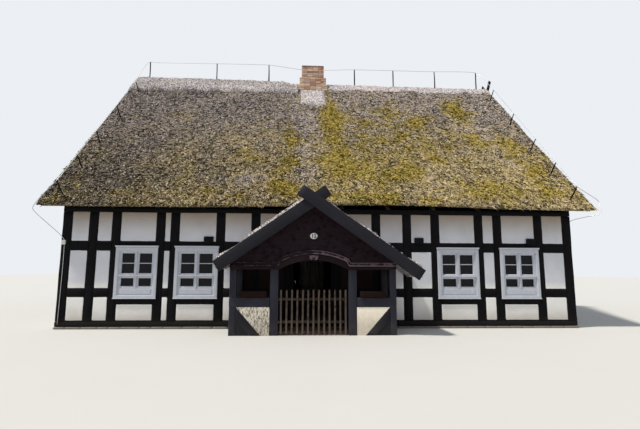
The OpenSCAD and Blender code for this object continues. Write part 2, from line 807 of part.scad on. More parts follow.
// Conductor: stakes stand in the thatch, the wire runs over their tips, behind the chimney
// and down each front corner
function cap_top(t) = ridge_top_z + seat_gap + t / cos(roof_pitch) - slope * cap_crown_w / 4;
function tip_z(x) = cap_top(x < chimney_x ? left_cap_t : right_cap_t) + stake_h;
function ridge_tip(x) = [x, 0, tip_z(x)];
function slope_point(side, share) = [side * (verge_x - stake_inset), -eave_y * share,
                                     ridge_top_z - eave_y * share * slope];
stake_line = [0, -sin(roof_pitch), cos(roof_pitch)];
function verge_tip(side, share) = slope_point(side, share) + verge_stake_len * stake_line;
function verge_tips(side) = [for (t = verge_stake_at) verge_tip(side, t)];
function reversed(v) = [for (i = [len(v) - 1:-1:0]) v[i]];
wire_play = 4;
wire_gap = wire_dia / 2 + wire_play;
clamp_x = -half_len + clamp_in;
drop_x = verge_x + barge_t + wire_clear;
drop_z = eave_z - barge_w / 2;
side_drop = corner_w / 2;
side_drop_y = face_y + timber_d / 2;
foot_z = plinth_h + wire_foot;
around_y = chimney_d / 2 + wire_clear;
around_chimney = [for (s = [-1, 1]) let (x = chimney_x + s * (chimney_w / 2 + wire_clear))
                  [x, around_y, tip_z(x)]];
left_drop = [[-drop_x, -eave_y - wire_clear, drop_z],
             [clamp_x, face_y - wire_gap, clamp_z + clamp_size[2]],
             [clamp_x, face_y - wire_gap, foot_z]];
right_drop = [[verge_x + wire_bow, -eave_y + wire_bow / 2, eave_z + wire_bow],
              [drop_x + wire_clear, -eave_y - wire_clear, drop_z],
              [half_len + plinth_out + wire_gap, side_drop_y, drop_z - 2 * side_drop],
              [half_len + plinth_out + wire_gap, side_drop_y, foot_z]];
wire_route = concat(reversed(left_drop), reversed(verge_tips(-1)),
                    [for (x = stake_x) if (x < chimney_x) ridge_tip(x)], around_chimney,
                    [for (x = stake_x) if (x > chimney_x) ridge_tip(x)], verge_tips(1),
                    right_drop);

module conductor_stakes() {
    color("gray") {
        for (x = stake_x)
            bar([x, 0, ridge_top_z - stake_root], ridge_tip(x), stake_dia);
        for (side = [-1, 1])
            for (t = verge_stake_at)
                bar(slope_point(side, t) - stake_root * stake_line, verge_tip(side, t),
                    verge_stake_dia);
    }
}

// Wire swept along the route: one ring of points at each bend, turned no more than needed
wire_n = len(wire_route);
wire_sides = 8;
function unit(v) = v / norm(v);
function leg(i) = unit(wire_route[i + 1] - wire_route[i]);
function heading(i) = i == 0 ? leg(0) : i == wire_n - 1 ? leg(wire_n - 2) : unit(leg(i - 1) + leg(i));
function square_to(u, t) = unit(u - (u * t) * t);
wire_u = [for (i = 0, u = square_to([1, 0, 0], heading(0)); i < wire_n;
               i = i + 1, u = i < wire_n ? square_to(u, heading(i)) : u) u];

module conductor_wire() {
    r = wire_dia / 2;
    n = wire_sides;
    points = [for (i = [0:wire_n - 1]) for (k = [0:n - 1])
              wire_route[i] + [0, 0, r]
              + r * (cos(k * 360 / n) * wire_u[i] + sin(k * 360 / n) * cross(heading(i), wire_u[i]))];
    skin = [for (i = [0:wire_n - 2]) for (k = [0:n - 1])
            [(i + 1) * n + k, (i + 1) * n + (k + 1) % n, i * n + (k + 1) % n, i * n + k]];
    ends = [[for (k = [0:n - 1]) k], [for (k = [n - 1:-1:0]) (wire_n - 1) * n + k]];
    color("silver") polyhedron(points, concat(skin, ends));
}

// Small clamp box on the left corner post, open behind where the wire passes down it
module conductor_box() {
    color("white") difference() {
        translate([clamp_x, face_y - clamp_size[1] / 2, clamp_z])
            cube([clamp_size[0], clamp_size[1], clamp_size[2]], center = true);
        translate([clamp_x, face_y - wire_gap, clamp_z])
            cylinder(d = 2 * wire_gap, h = clamp_size[2] + 2, center = true, $fn = 32);
        translate([clamp_x, face_y, clamp_z])
            cube([2 * wire_gap, 2 * wire_gap, clamp_size[2] + 2], center = true);
    }
}

// The six porch posts: four in front and two against the wall
module porch_posts() {
    back = porch_y + porch_post_d;
    color("darkslategray") for (s = [-1, 1]) {
        translate([door_x + s * outer_post_x, 0, 0]) {
            block([-outer_post_w / 2, porch_y, 0], [outer_post_w / 2, back, porch_head_z]);
            block([-outer_post_w / 2, face_y - porch_post_d, 0],
                  [outer_post_w / 2, face_y - plinth_out, porch_head_z]);
        }
        translate([door_x + s * inner_post_x, 0, 0])
            block([-inner_post_w / 2, porch_y, 0], [inner_post_w / 2, back, porch_head_z]);
    }
}

module porch_plates() {
    color("darkslategray") for (s = [-1, 1])
        translate([door_x + s * outer_post_x, 0, 0])
            block([-outer_post_w / 2, porch_y + lintel_t, porch_head_z],
                  [outer_post_w / 2, face_y, porch_plate_top]);
}

// Everything above the underside of the main roof in front of the ridge, grown by the gap
module main_roof_space() {
    profile_x(-verge_x, verge_x, [[-eave_y - seat_gap, eave_z - seat_gap], [0, eave_z - seat_gap],
                                  [0, ridge_top_z + seat_gap * slope],
                                  [-eave_y - seat_gap, eave_z]]);
}

porch_rafter_first = porch_y + lintel_t + porch_rafter_ends[0];
porch_rafter_last = face_y - porch_rafter_w - porch_rafter_ends[1];
porch_rafter_gap = (porch_rafter_last - porch_rafter_first) / (porch_rafter_pairs - 1);
module porch_rafters() {
    color("peru") difference() {
        for (i = [0:porch_rafter_pairs - 1]) for (s = [0, 1]) {
            y = porch_rafter_first + i * porch_rafter_gap;
            translate([door_x, 0, 0]) mirror([s, 0, 0]) profile_y(y, y + porch_rafter_w)
                polygon([[outer_edge, porch_plate_top], [outer_edge, porch_under_z(outer_edge)],
                         [0, porch_under_z(0)], [0, porch_under_z(0) - porch_rafter_v]]);
        }
        main_roof_space();
    }
}

module porch_rails() {
    color("darkslategray") for (s = [0, 1]) translate([door_x, 0, 0]) mirror([s, 0, 0]) {
        block([inner_post_x + inner_post_w / 2, porch_y, parapet_z],
              [outer_post_x - outer_post_w / 2, porch_y + porch_post_d, parapet_z + parapet_h]);
        block([outer_post_x - outer_post_w / 2, porch_y + porch_post_d, parapet_z],
              [outer_post_x + outer_post_w / 2, face_y - porch_post_d, parapet_z + parapet_h]);
    }
}

// Outline of the brace in a front parapet, from the outer post's head down to the inner side
brace_top = outer_post_x - outer_post_w / 2;
brace_foot = inner_post_x + inner_post_w / 2 + brace_foot_in;
brace_cut = brace_w / cos(atan((brace_top - brace_foot) / parapet_z));
module brace_outline() {
    polygon([[brace_top, parapet_z], [brace_foot, 0], [brace_foot + brace_cut, 0],
             [brace_top, parapet_z * (1 - brace_cut / (brace_top - brace_foot))]]);
}
module porch_braces() {
    color("darkslategray") for (s = [0, 1]) translate([door_x, 0, 0]) mirror([s, 0, 0])
        profile_y(porch_y, porch_y + brace_t) brace_outline();
}
module porch_panels() {
    front = porch_y + panel_set;
    brace_low = parapet_z * (1 - brace_cut / (brace_top - brace_foot));
    color("wheat") for (s = [0, 1]) translate([door_x, 0, 0]) mirror([s, 0, 0]) {
        profile_y(front, front + panel_t)
            polygon([[inner_post_x + inner_post_w / 2, 0], [brace_foot, 0], [brace_top, parapet_z],
                     [inner_post_x + inner_post_w / 2, parapet_z]]);
        profile_y(front, front + panel_t)
            polygon([[brace_foot + brace_cut, 0], [brace_top, 0], [brace_top, brace_low]]);
        block([outer_post_x - panel_t / 2, porch_y + porch_post_d, 0],
              [outer_post_x + panel_t / 2, face_y - porch_post_d, parapet_z]);
    }
}

// Arch of the lintel: one centre for the opening and the moulding over it
arch_r = (arch_half * arch_half + arch_rise * arch_rise) / (2 * arch_rise);
arch_centre = porch_head_z + arch_rise - arch_r;
arch_steps = 24;
ogee_steps = 6;
function arch_z(r, x) = arch_centre + sqrt(r * r - x * x);
function arch_line(r, half) = [for (i = [0:arch_steps])
    let (x = half - 2 * half * i / arch_steps) [x, arch_z(r, x)]];

// Shoulder of the moulding: an S-curve from the straight part at foot up to the arch's end
function ogee(foot, low, half, high) = [for (i = [0:ogee_steps - 1])
    let (t = i / ogee_steps) [foot + (half - foot) * t, low + (high - low) * (1 - cos(180 * t)) / 2]];
function mirrored(v) = [for (i = [len(v) - 1:-1:0]) [-v[i][0], v[i][1]]];

// Everything under the lintel's top edge, the edge lowered by d and the ends carried on by e
module under_lintel(d, e) {
    r = arch_r + arch_ring - d;
    half = arch_half - d * shoulder_lean;
    low = porch_head_z + lintel_h - d;
    shoulder = concat([[outer_edge + e, porch_head_z - e], [outer_edge + e, low]],
                      ogee(half + shoulder_w, low, half, arch_z(r, half)));
    polygon(concat(shoulder, arch_line(r, half), mirrored(shoulder)));
}
module hood_band(d) {
    difference() {
        under_lintel(0, 0);
        under_lintel(d, 1);
    }
}

// Lintel board with its hood moulding, a hollow built up of steps, and its keystone
module porch_lintel() {
    key_foot = porch_head_z + arch_rise + key_rise;
    key_top = porch_head_z + arch_rise + arch_ring - hood_h;
    color("indianred") translate([door_x, 0, 0]) {
        profile_y(porch_y, porch_y + lintel_t) difference() {
            under_lintel(0, 0);
            polygon(concat([[-arch_half, porch_head_z - 1], [arch_half, porch_head_z - 1]],
                           arch_line(arch_r, arch_half)));
        }
        for (i = [0:hood_steps - 1]) {
            share = i / hood_steps;
            profile_y(porch_y - hood_out * (i + 1) / hood_steps, porch_y - hood_out * share)
                hood_band(hood_h * sqrt(1 - share * share));
        }
        profile_y(porch_y - hood_out * key_out, porch_y)
            polygon([[-key_w / 2, key_foot], [key_w / 2, key_foot],
                     [key_head_w / 2, key_top], [-key_head_w / 2, key_top]]);
    }
}

// Boarding of the porch gable between the lintel and the roof
module porch_gable_boards() {
    eaves = porch_under_z(outer_edge);
    color("rosybrown") translate([door_x, 0, 0])
        profile_y(porch_y + panel_set, porch_y + lintel_t) difference() {
            polygon([[-outer_edge, porch_head_z], [outer_edge, porch_head_z],
                     [outer_edge, eaves], [0, porch_under_z(0)], [-outer_edge, eaves]]);
            under_lintel(0, 1);
        }
}

// One barge board of the porch, going down to +X, its crossing end rising to -X
module porch_barge(run) {
    along = run / cos(porch_pitch);
    translate([0, porch_barge_z]) rotate(-porch_pitch)
        translate([-porch_horn_len, -porch_barge_w / 2])
        square([along + porch_horn_len, porch_barge_w]);
}
module porch_barge_left() {
    color("darkslategray") translate([door_x, 0, 0])
        profile_y(porch_front_y - porch_barge_t, porch_front_y)
        mirror([1, 0]) porch_barge(porch_left_run - porch_barge_short);
}
module porch_barge_right() {
    color("darkslategray") translate([door_x, 0, 0])
        profile_y(porch_front_y - 2 * porch_barge_t, porch_front_y - porch_barge_t)
        porch_barge(porch_right_run - porch_barge_short);
}

// One slope of the porch thatch, running back under and against the main roof
module porch_thatch(side, run) {
    color("tan") difference() {
        translate([door_x, 0, 0]) mirror([side, 0, 0]) profile_y(porch_front_y, face_y)
            polygon([[0, porch_under_z(0) + seat_gap], [0, porch_ridge_z],
                     [run, porch_under_z(run) + porch_thatch_v],
                     [run, porch_under_z(run) + seat_gap]]);
        main_roof_space();
    }
}
module porch_thatch_left() { porch_thatch(1, porch_left_run); }
module porch_thatch_right() { porch_thatch(0, porch_right_run); }

module porch_floor() {
    inset = outer_post_x - panel_t / 2;
    color("sienna") block([door_x - inset, porch_y + porch_post_d, 0],
                          [door_x + inset, face_y - porch_post_d, porch_floor_h]);
}

module flower_boxes() {
    front = porch_y - flower_box_out;
    wall = flower_box_wall;
    color("brown") for (s = [-1, 1])
        translate([door_x + s * (inner_post_x + outer_post_x) / 2, 0, parapet_z + parapet_h])
        difference() {
            block([-flower_box[0] / 2, front, 0],
                  [flower_box[0] / 2, front + flower_box[1], flower_box[2]]);
            block([-flower_box[0] / 2 + wall, front + wall, wall],
                  [flower_box[0] / 2 - wall, front + flower_box[1] - wall, flower_box[2] + 1]);
        }
}

// Oval plate on the gable boards
module number_plate() {
    n = 48;
    back = porch_y + panel_set;
    color("white") translate([door_x, 0, number_plate_z])
        profile_y(back - number_plate_t, back)
            polygon([for (i = [0:n - 1]) [number_plate[0] / 2 * cos(i * 360 / n),
                                          number_plate[1] / 2 * sin(i * 360 / n)]]);
}

// A round-topped picket
module picket(x) {
    shoulder = gate_top - picket_w / 2;
    translate([x, 0, 0]) profile_y(picket_y, picket_y + picket_t) {
        translate([-picket_w / 2, gate_bottom]) square([picket_w, shoulder - gate_bottom]);
        translate([0, shoulder]) circle(d = picket_w, $fn = 32);
    }
}

module gate() {
    a = gate_left + gate_gap;
    b = gate_right - gate_gap;
    pitch = (b - a - picket_w - 2 * rail_end) / (picket_count - 1);
    color("gray") {
        for (i = [0:picket_count - 1]) picket(a + rail_end + picket_w / 2 + i * pitch);
        for (z = gate_rail_z)
            block([a, rail_front_y, z - gate_rail_h / 2], [b, rail_back_y, z + gate_rail_h / 2]);
    }
}

// Cranked straps: an eye on the pin, a plate across the rail's end and a strip on its back
module gate_eyes() {
    a = gate_left + gate_gap;
    half = eye_h / 2;
    color("black") for (z = gate_rail_z) translate([0, 0, z]) difference() {
        union() {
            translate([hinge_x, hinge_y, -half]) cylinder(d = eye_dia, h = eye_h, $fn = 48);
            block([hinge_x, hinge_y - strap_t / 2, -half], [a, hinge_y + strap_t / 2, half]);
            block([a - strap_t, hinge_y - strap_t / 2, -half], [a, rail_back_y + strap_t, half]);
            block([a - strap_t, rail_back_y, -half], [a + strap_len, rail_back_y + strap_t, half]);
        }
        translate([hinge_x, hinge_y, -half - 1])
            cylinder(d = pintle_dia + 2 * pintle_play, h = eye_h + 2, $fn = 48);
    }
}

// Hooks driven into the left inner post: a leg from the post with an upright pin
module gate_pintles() {
    low = -eye_h / 2 - hook_gap - hook_h;
    color("black") for (z = gate_rail_z) translate([0, 0, z]) {
        block([gate_left, hinge_y - pintle_dia / 2, low],
              [hinge_x, hinge_y + pintle_dia / 2, low + hook_h]);
        translate([hinge_x, hinge_y, low])
            cylinder(d = pintle_dia, h = eye_h + hook_gap + 2 * hook_h, $fn = 48);
    }
}

plinth();
floor();
sill_beams();
wall_posts();
wall_rails();
wall_infill();
windows();
window_glass();
rail_blocks();
door_frame();
front_door();
wall_plates();
tie_beams();
ceiling_boards();
rafters_front();
rafters_back();
gable_boards();
thatch_front();
thatch_back();
thatch_crown();
ridge_caps();
gable_barge_boards();
chimney();
conductor_stakes();
conductor_wire();
conductor_box();
porch_posts();
porch_plates();
porch_rafters();
porch_rails();
porch_braces();
porch_panels();
porch_lintel();
porch_gable_boards();
porch_barge_left();
porch_barge_right();
porch_thatch_left();
porch_thatch_right();
porch_floor();
flower_boxes();
number_plate();
gate();
gate_eyes();
gate_pintles();
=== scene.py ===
"""Looks of the half timbered house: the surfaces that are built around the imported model.

Each operator makes one piece or a group of like pieces. A shape is worked out as whole arrays: an
outline carried along a path, or a surface over two parameters, with seeded noise for its wear.
Lengths are metres: X runs along the house, the front faces -Y and the ground is Z = 0.
"""

import math

import bpy
import numpy as np
from bpy.props import FloatProperty, FloatVectorProperty, PointerProperty
from mathutils import Matrix, Vector


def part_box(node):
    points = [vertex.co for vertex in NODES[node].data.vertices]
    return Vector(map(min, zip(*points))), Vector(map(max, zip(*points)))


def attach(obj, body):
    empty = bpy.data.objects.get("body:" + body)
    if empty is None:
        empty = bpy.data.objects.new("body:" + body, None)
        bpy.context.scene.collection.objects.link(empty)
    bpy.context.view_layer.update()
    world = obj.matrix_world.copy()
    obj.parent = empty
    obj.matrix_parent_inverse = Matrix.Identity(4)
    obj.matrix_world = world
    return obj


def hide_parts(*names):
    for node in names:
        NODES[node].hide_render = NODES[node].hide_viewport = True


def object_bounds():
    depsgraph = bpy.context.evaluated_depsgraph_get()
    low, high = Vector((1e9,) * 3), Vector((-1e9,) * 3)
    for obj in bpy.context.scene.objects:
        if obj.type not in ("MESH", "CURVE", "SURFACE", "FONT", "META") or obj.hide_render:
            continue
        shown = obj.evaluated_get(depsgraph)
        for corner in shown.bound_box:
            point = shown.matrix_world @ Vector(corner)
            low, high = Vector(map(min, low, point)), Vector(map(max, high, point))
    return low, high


bl_info = {
    "name": "Half timbered house",
    "version": (1, 0, 0),
    "blender": (4, 5, 0),
    "location": "3D View > Sidebar > House",
    "description": "Thatch, timbers, plaster and joinery around the packed model",
    "category": "Object",
}

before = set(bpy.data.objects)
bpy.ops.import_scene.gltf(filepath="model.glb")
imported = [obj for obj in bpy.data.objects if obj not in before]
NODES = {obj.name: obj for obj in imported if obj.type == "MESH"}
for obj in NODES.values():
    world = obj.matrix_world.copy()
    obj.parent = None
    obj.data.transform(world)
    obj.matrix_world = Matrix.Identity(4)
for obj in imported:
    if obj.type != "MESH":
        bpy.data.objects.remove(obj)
CAD_BOX = [list(corner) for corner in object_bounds()]


def corners(node):
    """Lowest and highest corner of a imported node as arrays."""
    lo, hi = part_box(node)
    return np.array(lo), np.array(hi)


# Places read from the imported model
HOUSE_LO, HOUSE_HI = corners("sill_beams")
PLATE_LO, PLATE_HI = corners("wall_plates")
SLOPE_LO, SLOPE_HI = corners("thatch_front")
SHAFT_LO, SHAFT_HI = corners("chimney")
LINTEL_LO, LINTEL_HI = corners("porch_lintel")
GATE_LO, GATE_HI = corners("gate")
RIDGE = corners("thatch_crown")[1][2]
PORCH_HEAD = corners("porch_posts")[1][2]

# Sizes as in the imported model
TIMBER = 0.16
COLLAR_OUT, UPPER_COLLAR_OUT = 0.14, 0.09
THATCH, PORCH_THATCH = 0.28, 0.2
PITCH, PORCH_PITCH = math.radians(47), math.radians(35)
RIDGE_IN = 0.25
ARCH_HALF, ARCH_RISE, ARCH_RING, LINTEL_H = 0.85, 0.228, 0.243, 0.173

# What follows from them
SIN, COS, SLOPE = math.sin(PITCH), math.cos(PITCH), math.tan(PITCH)
PORCH_SLOPE = math.tan(PORCH_PITCH)
UNDER = RIDGE - THATCH / COS
EAVE_Y, EAVE_Z = -SLOPE_LO[1], SLOPE_LO[2]
VERGE = -SLOPE_LO[0]
SHAFT_X = SHAFT_LO[0] + COLLAR_OUT, SHAFT_HI[0] - COLLAR_OUT
DOOR_X = (LINTEL_LO[0] + LINTEL_HI[0]) / 2
ARCH_R = (ARCH_HALF ** 2 + ARCH_RISE ** 2) / (2 * ARCH_RISE)


# Noise and arrays

def noise(points, size, seed=0):
    """Value noise from -1 to 1: random numbers at the corners of cells of the given size, blended
    inside a cell by 3t^2 - 2t^3 along each axis."""
    q = np.asarray(points, float) / size
    base = np.floor(q).astype(np.int64)
    t = q - base
    t = t * t * (3 - 2 * t)
    total = np.zeros(q.shape[:-1])
    for corner in np.ndindex(2, 2, 2):
        c = base + corner
        h = (c[..., 0] * 73856093) ^ (c[..., 1] * 19349663) ^ (c[..., 2] * 83492791)
        h = h ^ (seed * 40503)
        h = (h ^ (h >> 13)) * 1274126177 & 0xFFFFFFFF
        h = (h ^ (h >> 16)) & 0xFFFF
        total += np.prod(np.where(corner, t, 1 - t), axis=-1) * (h / 32767.5 - 1)
    return total


def rough(points, size, seed=0, octaves=3):
    """Noise summed over octaves, each half as wide and half as strong as the one before."""
    return sum(noise(points, np.divide(size, 2 ** k), seed + k) / 2 ** k for k in range(octaves))


def xyz(x, y, z):
    """Three arrays of any matching shapes stacked as points."""
    return np.stack(np.broadcast_arrays(x, y, z), -1).astype(float)


def ramp_up(value):
    """The value held between 0 and 1."""
    return np.clip(value, 0, 1)


class Shape:
    """Points, faces of four corners (a triangle repeats its last corner), a flat map in metres for
    each face corner, and named values for each point."""

    def __init__(self, co, faces, flat, **values):
        self.co, self.faces, self.flat, self.values = co, faces, flat, values

    def flipped(self, axis):
        """The shape mirrored across the plane where this axis is 0, faces still outward."""
        co = self.co.copy()
        co[:, axis] *= -1
        return Shape(co, self.faces[:, [1, 0, 3, 2]], self.flat[:, [1, 0, 3, 2]], **self.values)


def join(shapes):
    """Several shapes as one, a value missing from one being 0 there."""
    start = np.cumsum([0] + [len(s.co) for s in shapes])
    names = sorted(set().union(*(s.values for s in shapes)))
    values = {n: np.concatenate([s.values.get(n, np.zeros(len(s.co))) for s in shapes])
              for n in names}
    return Shape(np.concatenate([s.co for s in shapes]),
                 np.concatenate([s.faces + n for s, n in zip(shapes, start)]),
                 np.concatenate([s.flat for s in shapes]), **values)


def zipped(left, right):
    """Faces between two rows of point numbers of any lengths, stepping along both in proportion."""
    n = max(len(left), len(right))
    i, j = (np.round(np.linspace(0, len(row) - 1, n)).astype(int) for row in (left, right))
    faces = np.stack([left[i[:-1]], left[i[1:]], right[j[1:]], right[j[:-1]]], -1)
    slim = faces[:, 0] == faces[:, 1]
    faces[slim] = faces[slim][:, [2, 3, 0, 1]]
    return faces


TINT_SHIFT = 37.0  # how far a piece's tint moves its flat map, so that no two pieces look alike


def skin(rings, split=None, closed=False, tint=None, **values):
    """rings (B, R, K, 3) holds B pieces, each an outline of K points carried through R places and
    running anticlockwise about the way it goes. Neighbouring outlines are joined by faces. Unless
    the path is closed, both ends are filled between the outline's first part (up to split) and
    the rest."""
    rings = np.asarray(rings, float)
    B, R, K, _ = rings.shape
    index = np.arange(B * R * K).reshape(B, R, K)
    a, b = (index, np.roll(index, -1, 1)) if closed else (index[:, :-1], index[:, 1:])
    faces = np.stack([a, np.roll(a, -1, 2), np.roll(b, -1, 2), b], -1)
    middle = rings.mean(2)
    hop = np.linalg.norm(np.roll(middle, -1, 1) - middle, axis=-1)
    side = np.linalg.norm(np.roll(rings, -1, 2) - rings, axis=-1).mean(1)
    along, around = (np.concatenate([np.zeros((B, 1)), np.cumsum(d, 1)], 1) for d in (hop, side))
    rows = a.shape[1]
    u0, u1, v0, v1 = along[:, :rows], along[:, 1:rows + 1], around[:, :-1], around[:, 1:]
    flat = np.empty(faces.shape + (2,))
    flat[..., 0] = np.stack([u0, u0, u1, u1], -1)[:, :, None]
    flat[..., 1] = np.stack([v0, v1, v1, v0], -1)[:, None]
    if tint is None:
        tint = np.random.default_rng(K * R + B).random(B)
    tint = np.asarray(tint, float).reshape(B)
    shift = (tint * TINT_SHIFT)[:, None, None, None]
    faces, flat = faces.reshape(-1, 4), (flat + shift[..., None]).reshape(-1, 4, 2)
    if not closed:
        split = K // 2 if split is None else split
        k = zipped(np.arange(split), np.arange(split, K)[::-1])
        reach = np.linalg.norm(rings - middle[:, :, None], axis=-1)
        turn = np.broadcast_to(around[:, :-1], (B, K))
        for end, order in ((0, [1, 0, 3, 2]), (-1, [0, 1, 2, 3])):
            kk = k[:, order]
            faces = np.concatenate([faces, index[:, end][:, kk].reshape(-1, 4)])
            cap = np.stack([reach[:, end][:, kk], turn[:, kk]], -1) + shift
            flat = np.concatenate([flat, cap.reshape(-1, 4, 2)])
    values["tint"] = tint[:, None, None]
    values = {n: np.broadcast_to(v, (B, R, K)).reshape(-1).astype(float)
              for n, v in values.items()}
    return Shape(rings.reshape(-1, 3), faces, flat, **values)


# Outline signs, angles and edge values of a squared section: three points on each worn corner and
# one amid each side, or two points on each corner
SECTIONS = {
    16: (np.array([1, 1, 1, 0, -1, -1, -1, -1, -1, -1, -1, 0, 1, 1, 1, 1]),
         np.array([1, 1, 1, 1, 1, 1, 1, 0, -1, -1, -1, -1, -1, -1, -1, 0]),
         np.radians([0, 45, 90, 90, 90, 135, 180, 180, 180, 225, 270, 270, 270, 315, 360, 0]),
         np.array([.5, 1, .5, 0] * 4)),
    8: (np.array([1, 1, -1, -1, -1, -1, 1, 1]), np.array([1, 1, 1, 1, -1, -1, -1, -1]),
        np.radians([0, 90, 90, 180, 180, 270, 270, 360]), np.ones(8)),
}


def section(points, across, deep, cut):
    """A rectangle of half sizes across and deep with corners rounded by cut: two rows of offsets
    and the edge values."""
    su, sv, angle, edge = SECTIONS[points]
    return su * (across - cut) + cut * np.cos(angle), sv * (deep - cut) + cut * np.sin(angle), edge


def timbers(centre, axes, size, cut=0.012, wave=0.004, step=0.3, points=16, seed=1):
    """B squared timbers. Each section is a rectangle whose corners are rounded by cut; it is
    carried along the first axis, drawn in at both ends and swayed by noise of height wave, all
    inside the given size (length, width, depth along the three axes)."""
    centre, size = np.atleast_2d(centre).astype(float), np.atleast_2d(size).astype(float)
    B = len(centre)
    slim = size[:, 1:].min()
    cut, wave = min(cut, slim * 0.22), min(wave, slim * 0.08)
    R = int(np.clip(np.ceil(size[:, 0].max() / step), 1, 60)) + 1
    nip = cut * 0.7
    reach = size[:, :1] / 2
    along = np.concatenate([-reach, (reach - nip) * np.linspace(-1, 1, R), reach], 1)
    inset = np.array([nip] + [0] * R + [nip])
    u, v, edge = section(points, *((size[:, i, None] / 2 - inset - wave)[..., None]
                                   for i in (1, 2)), cut)
    axes = np.broadcast_to(axes, (B, 3, 3))
    line, across, deep = (axes[:, None, None, i] for i in range(3))
    at = centre[:, None, None] + along[..., None, None] * line
    rings = at + u[..., None] * across + v[..., None] * deep
    if wave:
        grain = rings + centre[:, None, None] * 3.1
        rings = rings + wave * (noise(grain, .33, seed)[..., None] * across
                                + noise(grain, .33, seed + 5)[..., None] * deep)
    return skin(rings, edge=edge, tint=np.random.default_rng(seed).random(B))


def box_timbers(lo, hi, seed=0, **wear):
    """Squared timbers that fill boxes, each along its box's longest side, like lengths together."""
    lo, hi = np.atleast_2d(lo), np.atleast_2d(hi)
    size, centre = hi - lo, (hi + lo) / 2
    longest = size.argmax(1)
    kind = longest * 100 + np.ceil(np.log2(size.max(1)) * 2).astype(int)
    shapes = []
    for k in np.unique(kind):
        pick = kind == k
        a = longest[pick][0]
        order = [a, (a + 1) % 3, (a + 2) % 3]
        shapes.append(timbers(centre[pick], np.eye(3)[order], size[pick][:, order],
                              seed=int(k) % 97 + seed, **wear))
    return join(shapes)


def solids(node):
    """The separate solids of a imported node. A copy's like points are merged, then each point takes
    the lowest number found on its triangles until nothing changes."""
    mesh = NODES[node].data
    co = np.empty(len(mesh.vertices) * 3, np.float32)
    mesh.vertices.foreach_get("co", co)
    tri = np.empty(len(mesh.loops), np.int32)
    mesh.loops.foreach_get("vertex_index", tri)
    co = co.reshape(-1, 3)
    _, first, back = np.unique(np.round(co * 1e4), axis=0, return_index=True, return_inverse=True)
    points, tri = co[first].astype(float), back.ravel()[tri].reshape(-1, 3)
    label = np.arange(len(points))
    while True:
        low = label.copy()
        np.minimum.at(low, tri.ravel(), np.repeat(label[tri].min(1), 3))
        low = low[low]
        if (low == label).all():
            return [points[label == k] for k in np.unique(label)]
        label = low


def boxes(node):
    """Lowest and highest corners of a node's solids."""
    parts = solids(node)
    return np.array([p.min(0) for p in parts]), np.array([p.max(0) for p in parts])


def spans(node):
    """Centres, axes and sizes of straight solids, longest axis first, from the spread of their
    points about the centre. The third axis is the first crossed with the second."""
    centre, axes, size = [], [], []
    for p in solids(node):
        mid = (p.min(0) + p.max(0)) / 2 if len(p) > 60 else p.mean(0)
        _, _, rows = np.linalg.svd(p - p.mean(0))
        if rows[0][2] < 0:
            rows[0] *= -1
        rows[2] = np.cross(rows[0], rows[1])
        reach = (p - mid) @ rows.T
        centre.append(mid + (reach.max(0) + reach.min(0)) / 2 @ rows)
        axes.append(rows)
        size.append(np.ptp(reach, axis=0))
    return np.array(centre), np.array(axes), np.array(size)


def put(name, shape, look, nodes, body="house", smooth=True):
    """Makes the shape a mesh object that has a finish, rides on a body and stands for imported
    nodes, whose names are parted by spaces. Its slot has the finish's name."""
    mesh = bpy.data.meshes.new(name)
    keep = np.ones(shape.faces.shape, bool)
    keep[:, 3] = shape.faces[:, 3] != shape.faces[:, 2]
    counts = keep.sum(1)
    mesh.vertices.add(len(shape.co))
    mesh.vertices.foreach_set("co", shape.co.astype(np.float32).ravel())
    mesh.loops.add(int(counts.sum()))
    mesh.loops.foreach_set("vertex_index", shape.faces[keep].astype(np.int32))
    mesh.polygons.add(len(counts))
    mesh.polygons.foreach_set("loop_start", (np.cumsum(counts) - counts).astype(np.int32))
    mesh.polygons.foreach_set("use_smooth", np.full(len(counts), smooth))
    mesh.update(calc_edges=True)
    flat = mesh.uv_layers.new(name="flat")
    flat.data.foreach_set("uv", shape.flat[keep].astype(np.float32).ravel())
    for label, value in shape.values.items():
        layer = mesh.attributes.new(label, "FLOAT", "POINT")
        layer.data.foreach_set("value", value.astype(np.float32))
    mesh.validate()
    add_piece(name, mesh, look, nodes, body)


def add_piece(name, mesh, look, nodes, body="house"):
    """Links a mesh as a piece of the house."""
    mesh.materials.append(finish(look))
    piece = bpy.data.objects.new(name, mesh)
    bpy.context.scene.collection.objects.link(piece)
    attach(piece, body)
    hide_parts(*nodes.split())


def dress(look, *nodes):
    """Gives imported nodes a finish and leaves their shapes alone."""
    for node in nodes:
        data = NODES[node].data
        data.materials.clear()
        data.materials.append(finish(look))


# Shader graphs

